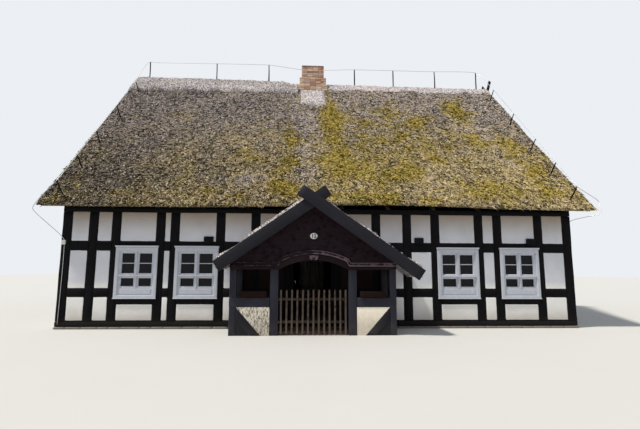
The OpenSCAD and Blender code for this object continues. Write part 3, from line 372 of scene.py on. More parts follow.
class Graph:
    """Adds nodes to a shader tree. Inputs are given by name: a socket is linked, a value is set."""

    def __init__(self, tree):
        self.tree = tree
        tree.nodes.clear()

    def add(self, kind, inputs=(), **settings):
        node = self.tree.nodes.new(kind if kind.startswith("Node") else "ShaderNode" + kind)
        for name, value in settings.items():
            setattr(node, name, value)
        for name, value in dict(inputs).items():
            socket = node.inputs[name]
            if isinstance(value, bpy.types.NodeSocket):
                self.tree.links.new(value, socket)
            else:
                if socket.type == "RGBA" and len(value) == 3:
                    value = (*value, 1.0)
                socket.default_value = value
        return node

    def noise(self, vector, scale, detail=3.0, rough=0.55, warp=0.0):
        return self.add("TexNoise", {"Vector": vector, "Scale": scale, "Detail": detail,
                                     "Roughness": rough, "Distortion": warp}).outputs["Fac"]

    def mix(self, share, a, b):
        return self.add("Mix", {0: share, 6: a, 7: b}, data_type="RGBA").outputs[2]

    def calc(self, operation, *inputs):
        return self.add("Math", enumerate(inputs), operation=operation).outputs[0]

    def times(self, a, b):
        return self.calc("MULTIPLY", a, b)

    def plus(self, a, b):
        return self.calc("ADD", a, b)

    def less(self, a, b):
        return self.calc("SUBTRACT", a, b)

    def line(self, a, k, b):
        """a times k plus b."""
        return self.calc("MULTIPLY_ADD", a, k, b)

    def band(self, value, low, high, to_low=0.0, to_high=1.0):
        """value taken from low..high to to_low..to_high by 3t^2 - 2t^3, held outside."""
        return self.add("MapRange", {"Value": value, "From Min": low, "From Max": high,
                                     "To Min": to_low, "To Max": to_high},
                        interpolation_type="SMOOTHSTEP").outputs[0]

    def ramp(self, value, *stops):
        node = self.add("ValToRGB", {"Fac": value})
        points = node.color_ramp.elements
        while len(points) < len(stops):
            points.new(0.5)
        for point, (place, colour) in zip(points, stops):
            point.position, point.color = place, (*colour, 1.0)
        return node.outputs["Color"]

    def stretch(self, vector, scale, shift=(0, 0, 0), turn=(0, 0, 0)):
        return self.add("Mapping", {"Vector": vector, "Scale": scale, "Location": shift,
                                    "Rotation": turn}).outputs[0]

    def value(self, name):
        return self.add("Attribute", attribute_name=name).outputs["Fac"]

    def flat(self):
        return self.add("UVMap", uv_map="flat").outputs[0]

    def place(self):
        return self.add("TexCoord").outputs["Object"]

    def parts(self, vector):
        return self.add("SeparateXYZ", {0: vector}).outputs

    def effect(self, name, **inputs):
        """The outputs of a shared effect with its own inputs here."""
        return self.add("Group", {n.replace("_", " "): v for n, v in inputs.items()},
                        node_tree=EFFECTS[name]).outputs

    def surface(self, colour, rough=0.8, height=None, depth=0.01, strength=1.0, **constants):
        """Ends the material: a Principled shader, its relief from a Bump node."""
        inputs = {"Base Color": colour, "Roughness": rough, **constants}
        if height is not None:
            inputs["Normal"] = self.add("Bump", {"Height": height, "Distance": depth,
                                                 "Strength": strength}).outputs[0]
        shader = self.add("BsdfPrincipled", {n.replace("_", " "): v for n, v in inputs.items()})
        self.add("OutputMaterial", {"Surface": shader.outputs[0]})


def material(name):
    """A new material and its graph."""
    made = bpy.data.materials.new(name)
    made.use_nodes = True
    return made, Graph(made.node_tree)


EFFECTS = {}


def effect(name, inputs, outputs, build):
    """A node group with named sockets; build gets its graph and inputs, returns the outputs."""
    tree = bpy.data.node_groups.new(name, "ShaderNodeTree")
    tree.interface.new_socket("Vector", in_out="INPUT", socket_type="NodeSocketVector")
    for label, default in inputs.items():
        socket = tree.interface.new_socket(label, in_out="INPUT", socket_type="NodeSocketFloat")
        socket.default_value = default
    for label in outputs:
        tree.interface.new_socket(label, in_out="OUTPUT", socket_type="NodeSocketFloat")
    g = Graph(tree)
    source = g.add("NodeGroupInput")
    g.add("NodeGroupOutput", zip(outputs, build(g, source.outputs)))
    return tree


def wood_grain(g, given):
    """Streaks along the flat map's first axis, drying cracks and a relief of both."""
    v = given["Vector"]
    fine = g.noise(g.stretch(v, (2.2, 85, 1)), 1.0, 4.0, 0.6, 0.4)
    broad = g.noise(g.stretch(v, (0.8, 14, 1)), 1.0, 2.0, 0.5, 1.0)
    split = g.noise(g.stretch(v, (1.1, 46, 1), (7, 3, 0)), 1.0, 2.0, 0.5, 0.2)
    crack = g.band(split, 0.66, 0.74)
    streak = g.plus(g.times(fine, 0.6), g.times(broad, 0.4))
    return streak, crack, g.less(streak, g.times(crack, 0.8))


def weather(g, given):
    """Soil splashed up from the ground, runs of rain down a face, blotches and fine speckle."""
    v, high = given["Vector"], given["Splash height"]
    blotch = g.noise(v, 1.3, 4.0, 0.6)
    splash = g.band(g.less(g.parts(v)["Z"], g.times(blotch, high)), high, -0.1)
    runs = g.noise(g.stretch(v, (7, 7, 0.45)), 1.0, 3.0, 0.6)
    return splash, runs, blotch, g.noise(v, 55, 4.0, 0.7)


def worn_edge(g, given):
    """Where the edge value is high, broken up by noise."""
    broken = g.noise(given["Vector"], 9.0, 4.0, 0.65)
    return (g.band(g.times(given["Edge"], broken), 0.32, 0.52),)


def reed(g, given):
    """Cut reed: how pale each stalk end is, broader mottling, and the relief of the ends. A loose
    reed takes its own shade, and the thatch below it takes one from noise."""
    v = given["Vector"]
    ends = g.noise(v, given["Scale"], 3.0, 0.8, 0.8)
    bits = g.add("TexVoronoi", {"Vector": v, "Scale": given["Scale"]}).outputs["Distance"]
    mottle = g.noise(v, 0.6, 5.0, 0.65)
    below = g.band(ends, 0.36, 0.66)
    shade = g.plus(below, g.times(given["Loose"], g.less(given["Tint"], below)))
    shade = g.plus(shade, g.band(mottle, 0.3, 0.7, -0.08, 0.08))
    return shade, mottle, g.plus(ends, g.times(bits, -0.6))


def make_effects():
    """Builds the effects that materials share."""
    EFFECTS.update(
        grain=effect("Wood grain", {}, ("Streak", "Crack", "Height"), wood_grain),
        weather=effect("Weather", {"Splash height": 0.5},
                       ("Splash", "Runs", "Blotch", "Speckle"), weather),
        edge=effect("Worn edge", {"Edge": 0.0}, ("Wear",), worn_edge),
        reed=effect("Reed", {"Scale": 14.0, "Tint": 0.0, "Loose": 0.0},
                    ("Shade", "Mottle", "Height"), reed))


# Finishes

def timber_finish(name, dark, light, worn, rough, crack, gloss, bleach, dust):
    """Wood or tarred timber: grain between two colours, worn corners, cracks and ground dust. On the
    lintel's moulding the worn colour is also a painted highlight.
    """
    made, g = material(name)
    place = g.place()
    grain = g.effect("grain", Vector=g.flat())
    air = g.effect("weather", Vector=place, Splash_height=0.3)
    colour = g.mix(grain["Streak"], dark, light)
    colour = g.mix(g.band(g.value("tint"), 0, 1, 0, 0.35), colour, light)
    colour = g.mix(g.band(air["Blotch"], 0.5, 0.8, 0, bleach), colour, worn)
    edge = g.effect("edge", Vector=place, Edge=g.value("edge"))["Wear"]
    colour = g.mix(g.times(edge, 0.55), colour, worn)
    colour = g.mix(g.times(grain["Crack"], crack), colour, [c * 0.3 for c in dark])
    colour = g.mix(g.times(air["Splash"], 0.25), colour, dust)
    height = g.plus(grain["Height"], g.times(air["Speckle"], 0.3))
    g.surface(colour, g.band(grain["Streak"], 0.2, 0.8, rough + 0.1, rough - 0.15), height, 0.004,
              Specular_IOR_Level=gloss)
    return made


# the first colour, for under the eave, is partly a stain and partly painted shade of the eave
EAVE_STAIN_AND_SHADE, SOIL_SPLASH, TAR = (0.30, 0.22, 0.14), (0.34, 0.29, 0.23), (0.006, 0.0055, 0.007)
RAIN_RUN, SCRATCH_AND_SHADOW, PIT = (0.46, 0.42, 0.37), (0.13, 0.10, 0.08), (0.36, 0.33, 0.30)
PANEL_SHADOW = (0.018, 0.017, 0.020)
# near-black red-brown for the front wall under the porch roof: partly the wall's dark colour there,
# partly painted shade of the porch
UNDER_PORCH_PAINT_AND_SHADE = (0.012, 0.0045, 0.004)
TAR_RIM = 0.028  # how far the timbers' tar runs over a panel's rim


def plaster_finish(name, colour, scratched_and_shaded=0.0, porch=None, rim=0.0, beyond=None):
    """Limewashed plaster: trowel relief, faint rain runs, scratches that left of the door are partly
    painted plant shadow, splash at the foot, a whiter, warmer foot that is painted sunlight, and a
    warm stain under the eave that is partly painted shade. The front wall can have a near-black
    colour under the porch roof that is partly painted shade of the porch, the timbers' tar runs over
    a panel's rim, and the porch panels beyond their braces are darkened to near black."""
    made, g = material(name)
    place = g.place()
    part = g.parts(place)
    x, z = g.less(part["X"], DOOR_X), part["Z"]
    away = g.calc("ABSOLUTE", x)
    air = g.effect("weather", Vector=place, Splash_height=0.45)
    # painted sunlight: below about 1.2 m the panels are whiter and warmer, as where the sun reaches
    # under the eave's shade
    foot = [c * k for c, k in zip(colour, (1.28, 1.24, 1.12))]
    tone = g.mix(g.band(air["Blotch"], 0.35, 0.7), colour, [c * 0.91 for c in colour])
    tone = g.mix(g.band(air["Runs"], 0.58, 0.8, 0, 0.22), tone, RAIN_RUN)
    tone = g.mix(g.band(z, 1.30, 1.05), tone, foot)
    # under the eave: a warm stain that is partly painted shade, the shade that the eave casts on the
    # upper panels
    tone = g.mix(g.band(g.line(air["Blotch"], 0.15, z), 2.45, 3.30, 0, 0.85), tone, EAVE_STAIN_AND_SHADE)
    tone = g.mix(g.times(air["Splash"], 0.5), tone, SOIL_SPLASH)
    # scratches, heavier left of the door: partly real scratches, partly painted shadow of plants on
    # the porch's left panel
    scratch_and_shadow = g.noise(g.stretch(place, (26, 26, 7), (0, 0, 0), (0, 0.7, 0)), 1.0, 3.0, 0.7, 1.5)
    share = g.band(x, 0.3, -0.3, scratched_and_shaded * 0.12, scratched_and_shaded)
    scratch_and_shadow = g.times(g.band(scratch_and_shadow, 0.49, 0.58), share)
    tone = g.mix(g.times(scratch_and_shadow, 0.85), tone, SCRATCH_AND_SHADOW)
    tone = g.mix(g.band(air["Speckle"], 0.66, 0.74, 0, 0.35), tone, PIT)
    if porch:
        # painted shade: the band reaches 2.13 m from the door's middle, taking in a strip of wall
        # beside the porch where the porch's shadow falls
        under = g.times(g.band(away, 2.16, 2.13), g.band(z, 2.28, 2.25))
        tone = g.mix(g.times(under, g.band(part["Y"], 0.0, -1.0)), tone, porch)
    if rim:
        inward = g.line(g.noise(place, 5.0, 3.0), 0.016, g.value("inward"))
        tone = g.mix(g.band(inward, rim + 0.010, rim + 0.006), tone, TAR)
    if beyond:
        low, slope = beyond
        tone = g.mix(g.band(g.less(away, g.line(z, slope, low)), -0.01, 0.01), tone, PANEL_SHADOW)
    relief = g.plus(g.noise(place, 12.0, 4.0, 0.6), g.times(scratch_and_shadow, -0.5))
    g.surface(tone, 0.92, g.plus(relief, g.times(air["Speckle"], 0.25)), 0.008,
              Specular_IOR_Level=0.25)
    return made


# Moss in four shades, from the gaps to the palest tips
OLIVE = ((0.055, 0.038, 0.003), (0.16, 0.115, 0.010), (0.35, 0.26, 0.030), (0.62, 0.48, 0.12))


def thatch_finish(name, grey, warm, scale=22.0):
    """Reed in four shades from the gaps to the palest ends: pinkish grey near the ridge, warmer
    toward the eave, brighter to the right and where the pale value is high, olive where the moss
    value is. The pale value is high where the reed is bleached; at the apron's ends it is far below
    0 as painted shadow."""
    made, g = material(name)
    place = g.place()
    part = g.parts(place)
    stalk = g.effect("reed", Vector=place, Scale=scale, Tint=g.value("tint"),
                     Loose=g.value("loose"))
    low, right = g.band(part["Z"], 9.3, 3.2), g.band(part["X"], -7.5, 1.5)
    shade = g.line(stalk["Shade"], g.line(right, 0.6, 2.30), -0.58)
    shade = g.line(g.value("pale"), 0.24, shade)
    shade = g.line(right, -0.10, shade)
    shade = g.line(g.times(low, g.less(1.0, right)), -0.42, shade)

    def shades(colours):
        return g.ramp(shade, *zip((0.05, 0.40, 0.70, 1.0), colours))
    age = g.line(low, 0.55, g.times(right, 0.28))
    age = g.line(g.less(stalk["Mottle"], 0.5), 1.1, age)
    age = g.line(g.value("pale"), -0.45, age)
    colour = g.mix(g.band(age, 0.1, 0.9), shades(grey), shades(warm))
    ragged = g.line(g.noise(place, 9.0, 3.0, 0.75), 0.5, g.noise(place, 1.6, 5.0, 0.7))
    moss = g.band(g.line(g.less(ragged, 0.75), 2.4, g.value("moss")), 0.12, 0.80)
    colour = g.mix(g.times(moss, 0.95), colour, shades(OLIVE))
    g.surface(colour, 0.95, stalk["Height"], 0.03, 0.8, Specular_IOR_Level=0.15)
    return made


def plain_finish(name, colour, other, scale, rough, depth, metallic):
    """Paint, metal, enamel, soil or stone: two close colours mottled, speckled and dusty below."""
    made, g = material(name)
    place = g.place()
    air = g.effect("weather", Vector=place, Splash_height=0.3)
    tone = g.mix(g.noise(place, scale, 5.0, 0.65), colour, other)
    edge = g.effect("edge", Vector=place, Edge=g.value("edge"))["Wear"]
    tone = g.mix(g.times(edge, 0.6), tone, other)
    tone = g.mix(g.times(air["Splash"], 0.4), tone, (0.20, 0.17, 0.13))
    g.surface(tone, g.band(air["Speckle"], 0.3, 0.7, rough + 0.12, rough - 0.08), air["Speckle"],
              depth, Metallic=metallic)
    return made


def brick_finish(name, limewash=0.0):
    """Bricks laid flat or in courses, drawn by a brick pattern on the piece's coordinates."""
    made, g = material(name)
    place = g.place()
    part = g.parts(place)
    wall = g.add("CombineXYZ", {0: g.plus(part["X"], part["Y"]), 1: part["Z"]}).outputs[0]
    ground = g.add("CombineXYZ", {0: part["X"], 1: part["Y"]}).outputs[0]
    up = g.parts(g.add("NewGeometry").outputs["True Normal"])["Z"]
    # the bricks' colours are dark partly as painted shade, to stand for the shade on the porch floor
    laid = g.add("TexBrick", {"Vector": g.mix(g.band(up, 0.4, 0.6), wall, ground), "Scale": 1.0,
                              "Mortar Size": 0.008, "Brick Width": 0.25, "Row Height": 0.085,
                              "Color1": (0.13, 0.055, 0.033), "Color2": (0.09, 0.043, 0.030),
                              "Mortar": (0.14, 0.12, 0.10)})
    air = g.effect("weather", Vector=place, Splash_height=0.3)
    tone = g.mix(g.band(air["Blotch"], 0.4, 0.7, 0, 0.5), laid.outputs["Color"],
                 (0.16, 0.11, 0.08))
    tone = g.mix(g.times(g.band(air["Runs"], 0.7, 0.3), limewash), tone, (0.6, 0.57, 0.5))
    g.surface(tone, 0.9, g.less(g.times(air["Speckle"], 0.4), laid.outputs["Fac"]), 0.006)
    return made


# Colours of single bricks by their tint
BRICKS = ((0.0, (0.30, 0.13, 0.08)), (0.25, (0.64, 0.33, 0.19)), (0.5, (0.55, 0.38, 0.32)),
          (0.80, (0.88, 0.66, 0.45)), (0.95, (0.44, 0.25, 0.20)), (1.0, (0.30, 0.17, 0.14)))


def single_bricks_finish(name):
    """Bricks that are pieces of their own: each has its tint between orange, red and brown."""
    made, g = material(name)
    place = g.place()
    air = g.effect("weather", Vector=place, Splash_height=0.1)
    tone = g.ramp(g.value("tint"), *BRICKS)
    soot = g.band(g.line(air["Blotch"], 0.12, g.parts(place)["Z"]), 10.10, 10.16, 0, 0.75)
    tone = g.mix(soot, tone, (0.05, 0.035, 0.03))
    tone = g.mix(g.band(g.noise(place, 18.0, 5.0, 0.7), 0.45, 0.75, 0, 0.6), tone,
                 (0.60, 0.46, 0.36))
    tone = g.mix(g.band(air["Blotch"], 0.55, 0.8, 0, 0.4), tone, (0.12, 0.09, 0.08))
    g.surface(tone, 0.9, g.plus(air["Speckle"], g.noise(place, 25.0, 3.0)), 0.006)
    return made


def glass_finish(name):
    """Old panes, opaque and near black: the colour is painted shade that stands for the unlit room
    behind them. Rippled, with a little dust.
    """
    made, g = material(name)
    place = g.place()
    dust = g.noise(place, 5.0, 5.0, 0.7)
    g.surface(g.mix(dust, (0.003, 0.003, 0.005), (0.010, 0.010, 0.012)),
              g.band(dust, 0.3, 0.8, 0.04, 0.14), g.noise(place, 2.6, 2.0), 0.02, 0.25,
              Specular_IOR_Level=0.15)
    return made


def shades_of(colour, gap=0.06):
    """Four shades of a reed colour, from the dark of the gaps to the palest ends."""
    return [[c * share for c in colour] for share in (gap, 0.08 + gap * 1.9, 0.5 + gap * 0.3, 1.0)]


def brace_line():
    """The middle of a porch brace: how far from the door's middle at the ground, and how much more
    for each metre up."""
    points = np.concatenate(solids("porch_braces"))
    away, z = np.abs(points[:, 0] - DOOR_X), points[:, 2]
    top = z > z.max() - 0.25
    low = away[z < z.min() + 0.01].mean()
    return float(low), float((away[top].mean() - low) / (z[top].mean() - z.min()))


DUST, BLUE_DUST = (0.20, 0.17, 0.14), (0.08, 0.07, 0.06)
# Dark, light and worn colour, roughness, strength of the cracks, gloss, bleach, dust
WOODS = {
    "tarred_timber": ((0.002, 0.0018, 0.0025), (0.006, 0.0055, 0.0070), (0.017, 0.015, 0.017),
                      0.7, 0.8, 0.08, 0.35, (0.05, 0.043, 0.036)),
    "slate_grey_wood": ((0.009, 0.009, 0.013), (0.019, 0.019, 0.025), (0.046, 0.045, 0.052),
                        0.7, 0.8, 0.15, 0.35, BLUE_DUST),
    "blue_grey_wood": ((0.013, 0.0135, 0.021), (0.027, 0.0275, 0.040), (0.060, 0.060, 0.075),
                       0.7, 0.8, 0.2, 0.35, BLUE_DUST),
    "purple_brown_boards": ((0.0055, 0.0020, 0.0034), (0.0100, 0.0040, 0.0066),
                            (0.032, 0.021, 0.027), 0.75, 0.1, 0.06, 0.08, DUST),
    # the moulding's worn colour is light: it is also a painted highlight on the lintel's upward
    # faces
    "purple_brown_moulding_wear_and_highlight": ((0.0065, 0.0022, 0.0040), (0.0110, 0.0044, 0.0072),
                              (0.36, 0.26, 0.29), 0.6, 0.2, 0.12, 0.03, DUST),
    "brown_boards": ((0.022, 0.012, 0.009), (0.065, 0.040, 0.028), (0.12, 0.09, 0.07),
                     0.8, 0.8, 0.25, 0.35, DUST),
    "inner_wood": ((0.022, 0.014, 0.009), (0.070, 0.047, 0.031), (0.11, 0.085, 0.065),
                   0.8, 0.8, 0.25, 0.35, DUST),
    "weathered_wood": ((0.012, 0.008, 0.006), (0.056, 0.040, 0.030), (0.15, 0.115, 0.09),
                       0.85, 0.8, 0.15, 0.35, DUST),
    "stake_wood": ((0.008, 0.006, 0.006), (0.020, 0.015, 0.014), (0.035, 0.029, 0.027),
                   0.85, 0.8, 0.1, 0.35, DUST),
    "box_wood": ((0.006, 0.0025, 0.002), (0.018, 0.0075, 0.006), (0.045, 0.024, 0.019),
                 0.8, 0.8, 0.1, 0.1, DUST),
}
# Two colours, scale of the mottling, roughness, depth of the relief, metallic
PLAINS = {
    "white_paint": ((0.62, 0.65, 0.73), (0.47, 0.49, 0.55), 6.0, 0.5, 0.002, 0.0),
    "mortar": ((0.30, 0.23, 0.18), (0.12, 0.09, 0.07), 20.0, 0.9, 0.006, 0.0),
    "fieldstone": ((0.16, 0.15, 0.14), (0.30, 0.27, 0.24), 5.0, 0.85, 0.01, 0.0),
    "soil": ((0.035, 0.024, 0.016), (0.075, 0.052, 0.035), 40.0, 0.95, 0.02, 0.0),
    "wire_metal": ((0.55, 0.56, 0.56), (0.40, 0.41, 0.41), 12.0, 0.4, 0.002, 1.0),
    "wrought_iron": ((0.05, 0.045, 0.04), (0.11, 0.06, 0.035), 25.0, 0.6, 0.002, 0.6),
    "white_enamel": ((0.80, 0.80, 0.79), (0.68, 0.67, 0.64), 9.0, 0.25, 0.002, 0.0),
    "dark_enamel": ((0.02, 0.02, 0.025), (0.03, 0.03, 0.03), 9.0, 0.3, 0.002, 0.0),
}
FINISHES = {}


def make_finish(name):
    """Builds the material of that name."""
    if name in WOODS:
        return timber_finish(name, *WOODS[name])
    if name in PLAINS:
        return plain_finish(name, *PLAINS[name])
    look = bpy.context.scene.house_look
    if name == "lime_plaster":
        return plaster_finish(name, look.plaster_colour, 0.0, UNDER_PORCH_PAINT_AND_SHADE, TAR_RIM)
    if name == "porch_plaster":
        return plaster_finish(name, [c * 0.97 for c in look.porch_plaster_colour], 1.0,
                              beyond=brace_line())
    if name == "thatch":
        return thatch_finish(name, shades_of(look.straw_colour), shades_of(look.warm_straw_colour))
    if name == "new_thatch":
        new = look.new_straw_colour
        return thatch_finish(name, shades_of(new, 0.14), shades_of([c * 1.05 for c in new], 0.16),
                             26.0)
    if name == "old_limewash":
        return brick_finish(name, 0.9)
    return {"clay_brick": brick_finish, "chimney_brick": single_bricks_finish,
            "window_glass": glass_finish}[name](name)


def finish(name):
    """The finish of that name, made the first time that it is asked for."""
    if not EFFECTS:
        make_effects()
    if name not in FINISHES:
        FINISHES[name] = make_finish(name)
    return FINISHES[name]


def length(name, description, default, low, high):
    """A length that the panel shows in the scene's unit."""
    return FloatProperty(name=name, description=description, default=default, min=low, max=high,
                         unit="LENGTH")


def colour(name, description, *default):
    """A colour that the panel shows as a swatch."""
    return FloatVectorProperty(name=name, description=description, subtype="COLOR",
                               default=default)


class HouseLook(bpy.types.PropertyGroup):
    """Sizes and colours of the house that a user would change"""
    reed_gap: length("Reed spacing", "Distance between the tufts on the old thatch",
                     0.054, 0.03, 0.3)
    reed_length: length("Reed length", "Mean length of the loose reed ends", 0.13, 0.03, 0.3)
    lumps: length("Thatch lumps", "Height of the lumps in the old thatch", 0.030, 0.0, 0.1)
    worn_corner: length("Worn corners", "Rounding of the wall timbers' corners", 0.011, 0.002, 0.03)
    waviness: length("Timber waviness", "How far a hewn face strays from straight",
                     0.006, 0.0, 0.02)
    swell: length("Plaster swell", "How far a panel's middle stands before its rim",
                  0.012, 0.0, 0.03)
    # the plaster's blue tint is partly painted skylight: white limewash as it looks in the eave's
    # shade
    plaster_colour: colour("Plaster", "Colour of the limewashed panels", 0.68, 0.69, 0.745)
    porch_plaster_colour: colour("Porch plaster", "Colour of the porch's panels", 0.88, 0.82, 0.76)
    straw_colour: colour("Old reed", "Colour of the reed ends on the left", 0.68, 0.585, 0.54)
    warm_straw_colour: colour("Warm reed", "Colour of the reed ends on the right",
                              0.72, 0.575, 0.32)
    new_straw_colour: colour("Ridge reed", "Colour of the reed on the ridge", 0.90, 0.82, 0.82)


class StageLook(bpy.types.PropertyGroup):
    """Light and floor around the house"""
    sun_power: FloatProperty(name="Sun", description="Strength of the key light",
                             default=3.5, min=0)
    sky_power: FloatProperty(name="Sky", description="Strength of the even light",
                             default=0.44, min=0)
    floor_colour: colour("Floor", "Colour of the floor", 0.62, 0.61, 0.59)


# Walls

def outward(lo, hi):
    """For boxes in the four walls: unit vectors to the right and outward as seen from outside, and
    the box's reach (u0, u1) to the right and (o0, o1) outward from the house's middle."""
    mid = (lo + hi) / 2
    front = (np.abs(np.abs(mid[:, 1]) - HOUSE_HI[1]) < 0.25)[:, None]
    out = np.where(front, np.sign(mid[:, 1:2]) * [0, 1, 0], np.sign(mid[:, :1]) * [1, 0, 0])
    right = np.cross([0, 0, 1], out)
    u, o = (np.sort(np.stack([(lo * way).sum(1), (hi * way).sum(1)], 1), 1)
            for way in (right, out))
    return right, out, u, o


def placer(right, out):
    """Turns (B, ...) arrays of distances right, outward and up into points."""
    def place(u, o, z):
        u, o, z = np.broadcast_arrays(u, o, z)
        lift = (slice(None),) + (None,) * (u.ndim - 1)
        return (u[..., None] * right[lift] + o[..., None] * out[lift]
                + z[..., None] * np.array([0, 0, 1.0]))
    return place


def ring_of_four(lo, hi, t=TIMBER):
    """The four timbers of a ring: front and back run through, the sides fit between them."""
    (x0, y0, z0), (x1, y1, z1) = lo, hi
    return (np.array([[x0, y0, z0], [x0, y1 - t, z0], [x0, y0 + t, z0], [x1 - t, y0 + t, z0]]),
            np.array([[x1, y0 + t, z1], [x1, y1, z1], [x0 + t, y1 - t, z1], [x1, y1 - t, z1]]))


class HOUSE_OT_plinth(bpy.types.Operator):
    """Lays the row of rough stones under the sill beams"""
    bl_idname = "house.plinth"
    bl_label = "Plinth stones"

    def execute(self, context):
        lo, hi = corners("plinth")
        deep, joint, least = 0.18, 0.004, 0.2
        rng = np.random.default_rng(11)
        shapes = []
        for axis, side in ((0, 0), (0, 1), (1, 0), (1, 1)):
            across, inset = 1 - axis, deep * axis
            start, end = lo[axis] + inset, hi[axis] - inset
            cuts = np.cumsum(rng.uniform(0.28, 0.52, 60))
            cuts = start + np.concatenate([[0], cuts[cuts < end - start - least], [end - start]])
            a, b = np.tile(lo, (len(cuts) - 1, 1)), np.tile(hi, (len(cuts) - 1, 1))
            a[:, axis], b[:, axis] = cuts[:-1] + joint, cuts[1:] - joint
            if side:
                a[:, across] = hi[across] - deep
            else:
                b[:, across] = lo[across] + deep
            shapes.append(box_timbers(a, b, side + 2 * axis, cut=0.022, wave=0.007, step=0.14))
        put("plinth_stones", join(shapes), "fieldstone", "plinth")
        return {"FINISHED"}


class HOUSE_OT_floors(bpy.types.Operator):
    """Gives the brick floors of the house and the porch their courses"""
    bl_idname = "house.floors"
    bl_label = "Brick floors"

    def execute(self, context):
        dress("clay_brick", "floor", "porch_floor")
        return {"FINISHED"}


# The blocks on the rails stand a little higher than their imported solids
RAIL_BLOCK_MORE = np.array([[[0, 0, 0]], [[0, 0, 0.045]]])


class HOUSE_OT_timber_frame(bpy.types.Operator):
    """Hews the sill beams, posts, rails, wall plates and rail blocks, with worn, wavy corners"""
    bl_idname = "house.timber_frame"
    bl_label = "Timber frame"

    def execute(self, context):
        look = context.scene.house_look
        for name, node, parts in (
                ("sill_timbers", "sill_beams", ring_of_four(HOUSE_LO, HOUSE_HI)),
                ("plate_timbers", "wall_plates", ring_of_four(PLATE_LO, PLATE_HI)),
                ("post_timbers", "wall_posts", boxes("wall_posts")),
                ("rail_timbers", "wall_rails", boxes("wall_rails")),
                ("rail_block_timbers", "rail_blocks",
                 np.array(boxes("rail_blocks")) + RAIL_BLOCK_MORE)):
            hewn = box_timbers(*parts, cut=look.worn_corner, wave=look.waviness, step=0.22)
            put(name, hewn, "tarred_timber", node)
        return {"FINISHED"}


class HOUSE_OT_plaster(bpy.types.Operator):
    """Fills the frame with plaster panels, whose face rises as 1 - exp(-d) away from the rim"""
    bl_idname = "house.plaster"
    bl_label = "Plaster panels"

    def execute(self, context):
        swell = context.scene.house_look.swell
        lo, hi = boxes("wall_infill")
        right, out, u, o = outward(lo, hi)
        place = placer(right, out)
        # distances in from the rim, the first behind the timbers' worn corners
        rim = np.array([-0.018, 0.004, 0.020, 0.045, 0.085, 0.15])
        half = np.stack([u[:, 1] - u[:, 0], hi[:, 2] - lo[:, 2]], 1)[..., None] / 2
        reach = half - rim * np.minimum(1, half * 0.7 / rim[-1])
        middle = np.array([-0.5, 0, 0.5]) * reach[..., -1:]
        step = np.concatenate([-reach, middle, reach[..., ::-1]], 2)
        sideways = (half[:, :1] - np.abs(step[:, :1])).transpose(0, 2, 1)
        inward = np.minimum(sideways, half[:, 1:] - np.abs(step[:, 1:]))
        rise = 0.85 - 1.7 * np.exp(-np.clip(inward, 0, None) / 0.03)
        along = u.mean(1)[:, None, None] + step[:, 0, :, None]
        tall = (lo[:, 2] + hi[:, 2])[:, None, None] / 2 + step[:, 1:, ::-1]
        front = place(along, o[:, 1:, None] - 0.002 + swell * rise / 2, tall)
        lump = rough(front, 0.45, 3) * 0.004 + rough(front, 0.11, 8, 2) * 0.0012
        front += lump[..., None] * out[:, None, None] * (inward > 0)[..., None]
        back = place(along, o[:, :1, None], tall[:, :, [-1, 0]])
        # no tar comes down from the wall plates over the uppermost panels
        upper = (hi[:, 2] > PLATE_LO[2] - 0.05)[:, None, None] & (step[:, 1:] > 0)
        tar = np.where(upper, sideways, inward)[:, :, ::-1]
        tar = np.concatenate([tar, np.zeros(back.shape[:3])], 2)
        # the outline runs down the face and up the back, and is carried to the right
        panels = skin(np.concatenate([front, back], 2), split=front.shape[2], inward=tar)
        put("plaster_panels", panels, "lime_plaster", "wall_infill")
        return {"FINISHED"}


# Window mouldings as (inward or upward, outward) points
CASING = [(0, 0), (.095, 0), (.095, .016), (.090, .022), (.084, .022), (.080, .028),
          (.014, .028), (.006, .024), (0, .018)]
FRAME = [(0, -.070), (.060, -.070), (.060, -.012), (.054, -.004), (.045, -.002), (0, -.002)]
SASH = [(0, -.062), (.036, -.062), (.036, -.034), (.030, -.026), (.024, -.022), (.020, -.016),
        (0, -.016)]
CORNICE = [(0, 0), (.045, 0), (.045, .060), (.036, .060), (.034, .052), (.026, .048), (.018, .040),
           (.010, .036), (.008, .034), (0, .034)]
SILL = [(0, 0), (.020, 0), (.012, .042), (.002, .044), (0, .040)]


